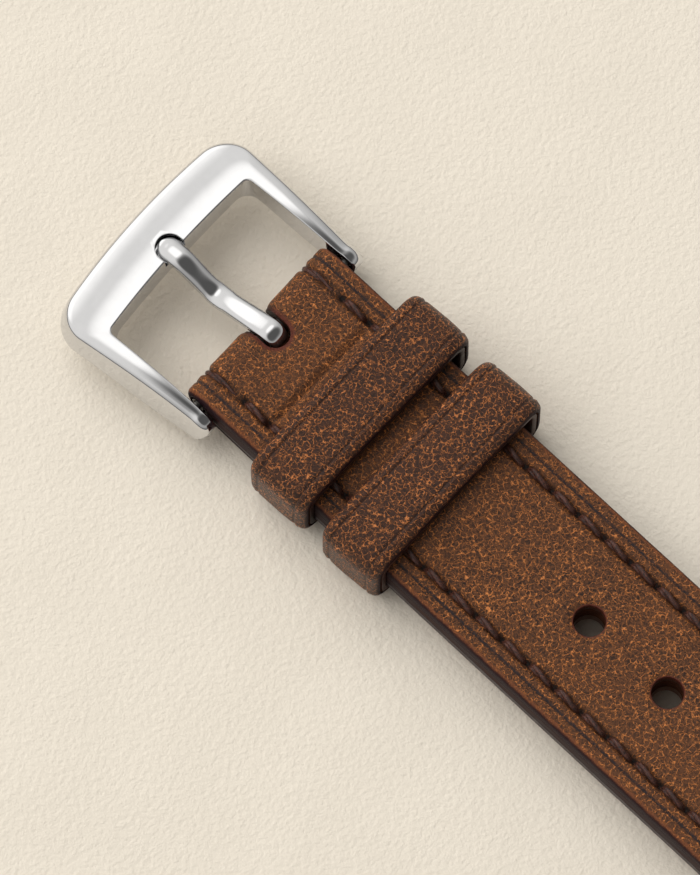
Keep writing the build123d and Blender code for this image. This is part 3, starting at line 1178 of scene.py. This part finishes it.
@dataclass
class Stitching:
    """The two saddle-stitched rows of twisted two-ply thread."""

    strap: StrapBody
    ply: float = 0.25
    lay: float = 0.13
    twist: float = 5.4

    def cord(self, name: str, path: Sequence[Point], fine: bool = True) -> Piece:
        """Lay two twisted plies along a path that keeps to one plane across Y.

        Args:
            name: The piece's name.
            path: Points of the cord's middle line.
            fine: False for the plainer stitches of the wrist side.

        Returns:
            The cord.
        """
        sides = 8 if fine else 6
        plies = []
        for start in (0.0, math.pi):
            travelled, rings = 0.0, []
            for i, (x, y, z) in enumerate(path):
                after, before = path[min(i + 1, len(path) - 1)], path[max(i - 1, 0)]
                run = Vector((after[0] - before[0], 0, after[2] - before[2])).normalized()
                up = Vector((-run.z, 0, run.x))
                across = Vector((0, 1, 0))
                if i:
                    travelled += (Vector(path[i]) - Vector(path[i - 1])).length
                turn = start + 2 * math.pi * travelled / self.twist - 0.5
                swell = 0.48 + 0.52 * math.sin(math.pi * i / (len(path) - 1)) ** 0.8
                lay = self.lay * swell * (math.cos(turn) * across + math.sin(turn) * up)
                centre = Vector((x, y, z)) + lay
                ring = [
                    tuple(centre + self.ply * swell * (math.cos(a) * across + math.sin(a) * up))
                    for a in (2 * math.pi * s / sides for s in range(sides))
                ]
                rings.append(ring)
            plies.append(sheet_through(name, rings))
        return join(name, plies)

    def top_path(self, length: float) -> list[Point]:
        """One stitch of the top side, from awl hole to awl hole.

        Args:
            length: Distance between the awl holes.

        Returns:
            Points of the cord's middle line.
        """
        points = []
        for i in range(23):
            share = i / 22
            lift = -0.66 + 0.52 * smooth(0.0, 0.24, min(share, 1 - share))
            slant = 0.06 * math.cos(math.pi * share)
            lift += 0.08 * math.sin(math.pi * share)
            points.append((share * length, slant, self.strap.top_z + lift))
        return points

    def under_path(self, start: float, end: float) -> list[Point]:
        """One stitch of the wrist side.

        Args:
            start: Place of one awl hole along the strap.
            end: Place of the next.

        Returns:
            Points of the cord's middle line.
        """
        points = []
        for i in range(11):
            share = i / 10
            x = start + share * (end - start)
            low = self.strap.wrist_z(self.strap.bar_x - abs(x))
            sunk = 0.34 * (1 - smooth(0.0, 0.2, min(share, 1 - share)))
            points.append((x, 0.0, low + 0.17 + sunk))
        return points

    def wrap_path(self, out: float) -> list[Point]:
        """The end stitch, from the top side round a fold to the wrist side.

        Args:
            out: 1 at the watch's end, -1 at the buckle's.

        Returns:
            Points of the cord's middle line.
        """
        strap = self.strap
        node = strap.bar_x - strap.first_stitch
        radius = strap.fold_radius - 0.38
        points = []
        for i in range(8):
            lift = -0.55 * (1 - smooth(0, 3, i))
            points.append((out * (node + (strap.bar_x - node) * i / 8), 0.0, strap.axis_z + radius + lift))
        for i in range(19):
            turn = math.pi * i / 18
            x = strap.bar_x + radius * math.sin(turn)
            points.append((out * x, 0.0, strap.axis_z + radius * math.cos(turn)))
        for i in range(1, 9):
            lift = 0.5 * (1 - smooth(0, 3, 8 - i))
            x = strap.bar_x + (node - strap.bar_x) * i / 8
            points.append((out * x, 0.0, strap.axis_z - radius + lift))
        return points

    def build_row(self, side: float) -> Piece:
        """One row: top stitches, legs through the layers, wrist stitches and both wraps.

        Args:
            side: -1 for the left row, 1 for the right one.

        Returns:
            The row as one piece.
        """
        strap = self.strap
        step = strap.stitches[1] - strap.stitches[0]
        shift = side * strap.row_y
        one = self.cord("stitch", self.top_path(step))
        starts = strap.stitches[:-1]
        pieces = [copy_at(one, (x + strap.leaning(x + step / 2, shift), shift, 0)) for x in starts]
        bpy.data.objects.remove(one)
        for start, end in zip(strap.stitches, strap.stitches[1:]):
            path = [(x, shift, z) for x, _, z in self.under_path(start, end)]
            pieces.append(self.cord("under", path, fine=False))
        for out in (-1.0, 1.0):
            lie = [(x + strap.leaning(x, shift), shift, z) for x, _, z in self.wrap_path(out)]
            pieces.append(self.cord("wrap", lie))
        for x in strap.stitches:
            low = strap.wrist_z(strap.bar_x - abs(x)) + 0.3
            high = strap.top_z - 0.72
            pieces.append(cylinder(0.25, high - low, (x, shift, (high + low) / 2), sides=8))
            settle(pieces[-1])
        name = "stitch_row_left" if side < 0 else "stitch_row_right"
        row = join(name, pieces)
        clean(row, 70)
        return row

    def build(self) -> None:
        """Build and dress both rows."""
        thread = WaxedThread().material()
        for side, node in ((-1.0, "thread_row_left"), (1.0, "thread_row_right")):
            dress(self.build_row(side), thread, Body.STRAP, Slot.WAXED_THREAD, node)


@dataclass
class Keeper:
    """A two-ply leather loop round the strap, in millimetres."""

    name: str
    body: Body
    x: float
    low: float
    height: float = 4.2
    inner_half: float = 8.2
    inner_round: float = 0.55
    width: float = 5.8
    skin: float = 0.8
    lining: float = 0.5
    round_edge: float = 0.56
    crease: float = 1.0
    bow: float = 0.14
    turn: float = 0.035
    play: float = 0.45

    def loop(self) -> list[tuple[float, float, float, float]]:
        """Stations round the loop: place (y, z) on the inside and the outward direction.

        Returns:
            For each station y, z and the outward direction's y, z.
        """
        r = self.inner_round
        stations = []
        y, top, foot = self.inner_half - r, self.low + self.height - r, self.low + r
        corners = ((y, top, 90), (-y, top, 180), (-y, foot, 270), (y, foot, 360))
        for index, (cy, cz, end) in enumerate(corners):
            for i in range(9):
                turn = math.radians(end - 90 + 90 * i / 8)
                c, s = math.cos(turn), math.sin(turn)
                stations.append((cy + r * c, cz + r * s, c, s))
            count = 18 if index % 2 == 0 else 4
            ny, nz = math.cos(math.radians(end)), math.sin(math.radians(end))
            following = corners[(index + 1) % 4]
            for i in range(1, count):
                share = i / count
                y = cy + (following[0] - cy) * share + r * ny
                z = cz + (following[1] - cz) * share + r * nz
                stations.append((y, z, ny, nz))
        return stations

    def outer_section(self) -> list[Spot]:
        """The skin's section: (x from the middle, height over the inside), crowned and creased.

        Returns:
            The section's points in order.
        """
        half, low, high = self.width / 2, self.lining, self.lining + self.skin
        r = self.round_edge
        edge = [(half, low), (half, low + 0.25), (half - 0.01, high - r)]
        edge += [(half - r + r * math.cos(t), high - r + r * math.sin(t)) for t in (0.4, 0.8, 1.2)]
        edge.append((half - r, high))
        line = half - self.crease
        flat = [half - r - 0.15] + [line + off for off in (0.26, 0.14, 0.07, 0.0, -0.07, -0.14, -0.28, -0.6)]
        flat += [0.8, 0.4]
        for x in flat:
            rise = 0.09 * (1 - (x / half) ** 2) - 0.09 * bell(x - line, 0.10)
            rise += 0.02 * bell(x - line - 0.26, 0.14)
            edge.append((x, high + rise))
        middle = [(0.0, high + 0.09)]
        return edge + middle + [(-x, z) for x, z in reversed(edge)]

    def inner_section(self) -> list[Spot]:
        """The lining's section, with a slightly eased edge.

        Returns:
            The section's points in order.
        """
        half = self.width / 2 - 0.02
        top, ease = self.lining, 0.06
        upper = [(half, ease), (half, top), (0, top), (-half, top), (-half, ease)]
        return upper + [(ease - half, 0), (0, 0), (half - ease, 0)]

    def band(self, name: str, section: Sequence[Spot]) -> Piece:
        """Carry a section round the loop.

        Args:
            name: The ply's name.
            section: Its section.

        Returns:
            The ply.
        """
        rings = []
        for y, z, ny, nz in self.loop():
            puff = self.bow * max(nz, 0.0) * (1 - (y / 8.4) ** 2) if abs(y) < 8.4 else 0.0
            ring = []
            for x, height in section:
                wave = 0.03 * noise.noise(Vector((self.x + x * 0.6, y * 0.5, z * 0.5)))
                reach = height + puff + wave
                side = y + ny * reach + self.play * smooth(0.0, 8.0, y)
                ring.append((self.x + x - self.turn * side, side + self.turn * x, z + nz * reach))
            rings.append(ring)
        band = extrude_through(name, rings, closed=True)
        clean(band, 50)
        return band

    def off_middle(self, r: Recipe) -> Socket:
        """Distance in metres from the band's turned middle line."""
        middle = r.minus(self.x * MM, r.times(r.y, self.turn))
        return r.size_of(r.minus(r.x, middle))

    def from_crease(self, r: Recipe) -> Socket:
        """Distance in millimetres from the band's two creases."""
        off = r.times(self.off_middle(r), 1 / MM)
        return r.size_of(r.minus(off, self.width / 2 - self.crease))

    def edge_share(self, r: Recipe) -> Socket:
        """Where the band's cut edges carry paint.

        Args:
            r: The recipe.

        Returns:
            The share of paint.
        """
        off = self.off_middle(r)
        reach = r.plus(off, r.times(r.noise(1.2, 3.0), 0.00016))
        return r.between(reach, (self.width / 2 - 0.10) * MM, (self.width / 2 + 0.08) * MM)

    def build(self) -> None:
        """Build and dress the loop's two plies."""
        tones = {"ridge": srgb(220, 136, 76), "middle": srgb(68, 39, 24), "wax": srgb(46, 33, 28)}
        grain = CrackledLeather(f"{self.name} leather", shine=0.38, waxed=0.62, **tones)
        leather = grain.material(self.edge_share, crease=self.from_crease)
        skin = self.band(f"{self.name}_band", self.outer_section())
        subdivide(skin)
        clean(skin, 60)
        dress(skin, leather, self.body, Slot.GRAINED_LEATHER, f"{self.name}_skin")
        lining = self.band(f"{self.name}_inside", self.inner_section())
        # The loop's lining takes darker tones than the strap's lining, as painted shade for the inside of the
        # loop.
        tones = {"pale": srgb(72, 38, 26), "deep": srgb(46, 24, 18)}
        calf = SmoothLining(f"{self.name} lining", painted_from=30, **tones)
        dress(lining, calf.material(), self.body, Slot.LINING_LEATHER, f"{self.name}_lining")


# The buckle


@dataclass(frozen=True)
class Edge:
    """One of the frame's four long edges, as half of its plan curve, in millimetres from the bar.

    It starts at ear_y beside the bar and ends at apex in the middle of the front. Its corner is where arm
    and front would meet, and the bend round it takes up that length of each. Drop is how much lower than
    the face the edge lies along the arm, and how much more along the front.
    """

    ear_y: float
    corner: Spot
    apex: float
    bend: float
    radius: float
    upper: bool
    drop: Spot = (0.0, 0.0)

    def arm(self, x: float) -> Spot:
        """A point of the arm."""
        corner_x, corner_y = self.corner
        return (x, self.ear_y + (corner_y - self.ear_y) * max(-x, 0.0) / -corner_x)

    def front(self, y: float) -> Spot:
        """A point of the bowed front."""
        corner_x, corner_y = self.corner
        return (corner_x + (self.apex - corner_x) * (1 - (y / corner_y) ** 2), y)

    def stations(self, count: int) -> list[Spot]:
        """Points from the ear to the middle of the front, at 3 * count + 1 stations.

        Args:
            count: Stations along each of the arm, the bend and half the front.

        Returns:
            The points in order.
        """
        reach = self.corner[0] + self.bend
        start, end = self.arm(reach), self.front(self.corner[1] - self.bend)
        points = [self.arm(reach * i / count) for i in range(count)]
        tightness = 0.72
        for i in range(count):
            t = i / count
            a, b, c = (1 - t) ** 2, 2 * t * (1 - t) * tightness, t * t
            turn = zip(start, self.corner, end)
            points.append(tuple((a * p + b * q + c * r) / (a + b + c) for p, q, r in turn))
        return points + [self.front(end[1] * (1 - i / count)) for i in range(count + 1)]


@dataclass
class Frame:
    """The polished frame; places are measured from its bar, in millimetres."""

    bar_x: float = -37.5
    axis_z: float = 1.55
    ear: float = 1.65
    top_z: float = 3.55
    notch_radius: float = 1.17
    notch_depth: float = 1.05
    notch_x: float = -10.2
    bore_radius: float = 0.45
    bore_length: float = 2.3
    bore_y: float = 8.0
    skew: float = 0.075
    edges: tuple[Edge, ...] = (
        Edge(10.10, corner=(-13.60, 11.05), apex=-14.5, bend=2.8, radius=0.5, upper=False),
        Edge(9.46, corner=(-13.20, 10.45), apex=-14.05, bend=2.6, radius=0.42, upper=True, drop=(0.10, 0.30)),
        Edge(8.36, corner=(-9.30, 8.32), apex=-9.70, bend=0.45, radius=0.14, upper=True),
        Edge(8.2, corner=(-9.25, 8.2), apex=-9.5, bend=1.3, radius=0.30, upper=False),
    )

    def arm_top(self, x: float) -> float:
        """Height of the top face: level in front, bent down towards the ear."""
        return self.top_z - 0.0148 * max(x + 8.0, 0.0) ** 2

    def arm_foot(self, x: float) -> float:
        """Height of the underside."""
        low = self.axis_z - self.ear
        return low + (1.05 - low) * smooth(-1.5, -10.5, x)

    @staticmethod
    def rounded(corners: Sequence[tuple[Vector, float]], crown: float = 0.0) -> list[Vector]:
        """Round a section's four corners, with points along its sides and a crown on its top.

        Args:
            corners: Each corner with its rounding.
            crown: Height that is added along the top side.

        Returns:
            The section's points.
        """
        points = []
        for i, (corner, radius) in enumerate(corners):
            before = (corners[i - 1][0] - corner)
            after = (corners[(i + 1) % 4][0] - corner)
            limit = min(before.length, after.length) * 0.42
            reach = min(radius, limit)
            start, end = corner + before.normalized() * reach, corner + after.normalized() * reach
            for t in (0.0, 0.3, 0.7, 1.0):
                points.append((1 - t) ** 2 * start + 2 * t * (1 - t) * corner + t * t * end)
            follow, radius_after = corners[(i + 1) % 4]
            back = (corner - follow).normalized()
            stop = follow + back * min(radius_after, (corner - follow).length * 0.42)
            rise = Vector((0, 0, crown if i == 1 else 0.0))
            points += [end.lerp(stop, 1 / 3) + rise, end.lerp(stop, 2 / 3) + rise]
        return points

    def arm_sections(self, count: int) -> list[list[Vector]]:
        """Sections from beside the bar to the middle of the front.

        Args:
            count: Stations along each of the arm, the bend and half the front.

        Returns:
            The sections in order.
        """
        sections = []
        for i, spots in enumerate(zip(*(edge.stations(count) for edge in self.edges))):
            front = smooth(count * 0.9, 2.0 * count, i)
            corners = []
            for edge, (x, y) in zip(self.edges, spots):
                z = self.arm_top(x) if edge.upper else self.arm_foot(x)
                z -= edge.drop[1] * front + edge.drop[0]
                corners.append((Vector((x, y, z)), edge.radius))
            sections.append(self.rounded(corners, 0.05 + 0.07 * front))
        return sections

    def ear_sections(self) -> list[list[Vector]]:
        """Sections round the ear, from its end to beside the bar.

        Returns:
            The sections in order.
        """
        sections = []
        count = 9
        for i in range(count, 0, -1):
            turn = math.radians(84 * i / count)
            x = self.ear * math.sin(turn)
            foot = self.axis_z - self.ear * math.cos(turn)
            over = max(x - 0.6, 0.0) / 1.1
            pinch = 1.05 * (1 - math.sqrt(1 - over**2))
            high = self.axis_z + (self.arm_top(0.0) - self.axis_z) * math.cos(turn)
            corners = [
                (Vector((x, 10.12 - pinch, foot)), 0.5),
                (Vector((x, 9.50 - 0.5 * pinch, high - 0.06)), 0.4),
                (Vector((x, 8.36 + 0.1 * pinch, high)), 0.22),
                (Vector((x, 8.2 + 0.1 * pinch, foot)), 0.30),
            ]
            sections.append(self.rounded(corners))
        return sections

    def rings(self) -> list[Ring]:
        """Sections from one ear, round the front, to the other ear.

        Returns:
            The sections in order.
        """
        half = self.ear_sections() + self.arm_sections(12)
        one = [[(self.bar_x + p.x, p.y, p.z) for p in section] for section in half]
        other = [[(x, -y, z) for x, y, z in ring] for ring in reversed(one[:-1])]
        return one + other

    def build(self, steel: Material) -> None:
        """Build the frame, cut its notch and blind holes, and dress it.

        Args:
            steel: Its finish.
        """
        frame_piece = extrude_through("buckle_frame_polished", self.rings())
        clean(frame_piece, 60)
        subdivide(frame_piece)
        turn_about(frame_piece, self.bar_x, self.skew)
        floor = self.top_z - self.notch_depth
        x = self.bar_x + self.notch_x
        tools = [
            cylinder(self.notch_radius, 4, (x, 0, floor + 2), sides=96),
            block((4, 2 * self.notch_radius, 4), (x + 2, 0, floor + 2)),
        ]
        for tool in tools:
            settle(tool)
            turn_about(tool, self.bar_x, self.skew)
        for y in (-self.bore_y, self.bore_y):
            bore = cylinder(self.bore_radius, self.bore_length, (self.bar_x, y, self.axis_z), across=True)
            tools.append(bore)
        cut(frame_piece, tools)
        crisp = math.radians(55)
        modify(frame_piece, "BEVEL", width=0.07 * MM, segments=2, limit_method="ANGLE", angle_limit=crisp)
        clean(frame_piece, 35)
        dress(frame_piece, steel, Body.BUCKLE, Slot.POLISHED_STEEL, "buckle_frame")


@dataclass
class Tongue:
    """The tongue: one bar that dips, rises and curls round the spring bar."""

    bar_x: float = -37.5
    axis_z: float = 1.55
    half: float = 1.0
    tip_x: float = -11.18
    skew: float = 0.075
    seat: float = 2.6
    top: float = 3.5
    curl_x: float = -0.9
    curl_radius: float = 1.24
    curl_thick: float = 0.66

    def upper(self, x: float) -> float:
        """Height of the top face.

        Args:
            x: Distance from the bar, negative towards the tip.

        Returns:
            The height in millimetres.
        """
        fall = smooth(-9.4, -5.2, x)
        rise = smooth(-5.6, 1.0, x)
        return self.top - 1.65 * fall + 1.38 * rise

    def lower(self, x: float) -> float:
        """Height of the underside.

        Args:
            x: Distance from the bar, negative towards the tip.

        Returns:
            The height in millimetres.
        """
        fall = smooth(-9.6, -5.2, x)
        rise = smooth(-5.4, 1.2, x)
        return self.seat - 1.60 * fall + 1.50 * rise

    def section(self, centre: Vector, along: Vector, half: float, thick: float, crown: float) -> Ring:
        """A rounded section square to the path.

        Args:
            centre: The section's middle.
            along: The path's direction there.
            half: Half the width.
            thick: The thickness.
            crown: Extra height in the middle, as a share of the thickness.

        Returns:
            The section.
        """
        up = Vector((-along.z, 0, along.x))
        points = []
        sides = 24
        for i in range(sides):
            turn = 2 * math.pi * (i + 0.5) / sides
            c, s = math.cos(turn), math.sin(turn)
            power = 0.74
            y = half * math.copysign(abs(c) ** power, c)
            z = thick / 2 * math.copysign(abs(s) ** power, s)
            if s > 0:
                z += crown * (1 - (y / max(half, 0.01)) ** 2) * thick
            else:
                z *= 0.92
            point = centre + up * z
            points.append((self.bar_x + point.x, y, point.z))
        return points

    def tip(self) -> list[Ring]:
        """Sections of the round tip.

        Returns:
            The sections in order.
        """
        rings = []
        count = 9
        for i in range(1, count):
            turn = math.radians(90 * i / count)
            x = self.tip_x + self.half - self.half * math.cos(turn)
            share = math.sin(turn)
            thick = 0.9 * (0.62 + 0.38 * share)
            centre = Vector((x, 0, (self.upper(x) + self.lower(x)) / 2))
            rings.append(self.section(centre, Vector((1, 0, 0)), self.half * share, thick, 0.02))
        return rings

    def path(self) -> list[Point]:
        """The way behind the tip, up to the bar and round it, as (x, z, thickness).

        Returns:
            The points in order.
        """
        path = []
        for x in spread(self.tip_x + self.half, self.curl_x, 0.32):
            path.append((x, (self.upper(x) + self.lower(x)) / 2, self.upper(x) - self.lower(x)))
        radius, count = self.curl_radius, 26
        for i in range(count + 1):
            turn = math.radians(105 - 300 * i / count)
            place = (radius * math.cos(turn), self.axis_z + radius * math.sin(turn))
            path.append((*place, self.curl_thick))
        return path

    def rings(self) -> list[Ring]:
        """Sections from the round tip, over the bar, to the curl's end.

        Returns:
            The sections in order.
        """
        rings, path = self.tip(), self.path()
        for i, (x, z, thick) in enumerate(path):
            after, before = path[min(i + 1, len(path) - 1)], path[max(i - 1, 0)]
            along = Vector((after[0] - before[0], 0, after[1] - before[1])).normalized()
            half = self.half
            if x > self.curl_x:
                half *= math.sqrt(1 - 0.5 * smooth(0.5, 1.57, x))
            elif z > self.axis_z:
                half -= 0.08 * bell(x + 5.6, 2.4)
            rings.append(self.section(Vector((x, 0, z)), along, half, thick, 0.05))
        return rings

    def build(self, steel: Material) -> None:
        """Build and dress the tongue.

        Args:
            steel: Its finish.
        """
        tongue = extrude_through("buckle_tongue_polished", self.rings())
        turn_about(tongue, self.bar_x, self.skew)
        clean(tongue, 60)
        subdivide(tongue)
        clean(tongue, 60)
        dress(tongue, steel, Body.TONGUE, Slot.POLISHED_STEEL, "buckle_tongue")


@dataclass
class SpringBars:
    """The two sprung bars, which keep their CAD solids."""

    names: tuple[str, ...] = ("buckle_bar", "watch_bar")

    def build(self) -> None:
        """Dress tubes, tips and springs."""
        # Bar steel: a dull finish, and a tone painted far darker than the polished steel as painted shade on
        # the tips between the folds and the ears.
        satin_and_shade = PolishedSteel("bar steel", srgb(122, 119, 114), dull=0.34, hairline=0.5).material()
        wire = PolishedSteel("spring wire", srgb(150, 148, 144), dull=0.26, hairline=0.3).material()
        for bar in self.names:
            for part in ("tube", "tip_left", "tip_right", "spring"):
                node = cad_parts[f"{bar}_{part}"]
                node.data.materials.clear()
                node.data.materials.append(wire if part == "spring" else satin_and_shade)
            LOG.info("%s: dressed", bar)


# The setting


@dataclass(frozen=True)
class Patch:
    """A soft patch of the room: its direction, the cosines where it starts and is full, and its level."""

    way: Point
    start: float
    full: float
    level: float


@dataclass
class Studio:
    """Paper floor, soft lamp, plain room and the camera of the photograph.

    Walls are the room's levels away from the key lamp and on its side. It darkens to dusk where the upward
    part of a direction falls through dusk_band.
    """

    floor_z: float = -1.52
    target: Point = (-27.5, -1.3, 0.0)
    back: Point = (0.2274, -0.2330, 0.9455)
    up: Point = (-0.66, 0.677, 0.3256)
    distance: float = 600.0
    lens: float = 396.5
    key: Point = (-0.72, -0.14, 0.69)
    key_away: float = 0.95
    key_size: Spot = (1.3, 1.1)
    key_power: float = 7.85
    walls: Spot = (0.46, 0.97)
    dusk: float = 0.15
    dusk_band: Spot = (0.04, 0.46)
    patches: tuple[Patch, ...] = (
        Patch((-0.84, 0.12, 0.53), 0.90, 0.96, 1.5),
        Patch((-0.19, 0.22, 0.96), 0.965, 0.998, 1.5),
        Patch((0.45, 0.12, 0.88), 0.81, 0.96, 0.11),
    )
    tint: Point = (1.0, 0.985, 0.96)

    def floor(self) -> None:
        """A wide sheet of paper."""
        place = (0, 0, self.floor_z * MM)
        bpy.ops.mesh.primitive_grid_add(x_subdivisions=4, y_subdivisions=4, size=3, location=place)
        sheet = bpy.context.active_object
        sheet.name = "paper_floor"
        settle(sheet)
        sheet.data.materials.append(TexturedPaper().material())

    def lamp(self) -> None:
        """The soft rectangular key lamp, which faces the strap."""
        data = bpy.data.lights.new("key", "AREA")
        data.shape = "RECTANGLE"
        data.size, data.size_y = self.key_size
        data.energy = self.key_power
        lamp = bpy.data.objects.new("key", data)
        bpy.context.scene.collection.objects.link(lamp)
        place = Vector(self.key).normalized() * self.key_away
        lamp.location = place + Vector(self.target) * MM
        lamp.rotation_euler = (-place).to_track_quat("-Z", "Y").to_euler()
        lamp.visible_glossy = False

    def room(self) -> None:
        """A plain grey room, brighter on the key lamp's side, with its soft patches."""
        world = bpy.data.worlds.new("room")
        bpy.context.scene.world = world
        world.use_nodes = True
        graph = NodeGraph(world.node_tree, "Generated")

        def facing(way: Point) -> Socket:
            """How nearly a direction agrees with another."""
            inputs = {0: graph.coords, 1: Vector(way).normalized()}
            return graph.node("ShaderNodeVectorMath", inputs, operation="DOT_PRODUCT").outputs["Value"]

        level = graph.between(facing(self.key), 0.1, 0.9, *self.walls)
        level = graph.between(graph.z, *self.dusk_band, self.dusk, level)
        for patch in self.patches:
            level = graph.between(facing(patch.way), patch.start, patch.full, level, patch.level)
        channels = {i: graph.times(level, share) for i, share in enumerate(self.tint)}
        colour = graph.node("ShaderNodeCombineColor", channels).outputs[0]
        background = graph.node("ShaderNodeBackground", {0: colour, 1: 1.0}).outputs[0]
        graph.node("ShaderNodeOutputWorld", {0: background})

    def camera(self) -> None:
        """The photograph's view."""
        data = bpy.data.cameras.new("camera")
        data.lens, data.sensor_width, data.sensor_fit = self.lens, 36.0, "HORIZONTAL"
        data.clip_start, data.clip_end = 0.05, 20.0
        camera = bpy.data.objects.new("camera", data)
        bpy.context.scene.collection.objects.link(camera)
        back, up = Vector(self.back).normalized(), Vector(self.up).normalized()
        right = up.cross(back).normalized()
        up = back.cross(right)
        camera.matrix_world = Matrix((right, up, back)).transposed().to_4x4()
        camera.location = Vector(self.target) * MM + back * self.distance * MM
        bpy.context.scene.camera = camera

    def build(self) -> None:
        """Set the stage."""
        self.floor()
        self.room()
        self.lamp()
        self.camera()
        bpy.context.scene.view_settings.view_transform = "Standard"


def main() -> None:
    """Build each sub-assembly in order."""
    logging.basicConfig(level=logging.INFO, format="%(message)s")
    strap = StrapBody()
    strap.build()
    Stitching(strap).build()
    Keeper("fixed_keeper", Body.STRAP, x=-27.88, low=0.0).build()
    Keeper("free_keeper", Body.FREE_KEEPER, x=-20.14, low=-0.2).build()
    steel = PolishedSteel("polished steel").material()
    Frame().build(steel)
    Tongue().build(steel)
    SpringBars().build()
    Studio().build()


if __name__ == "__main__":
    main()
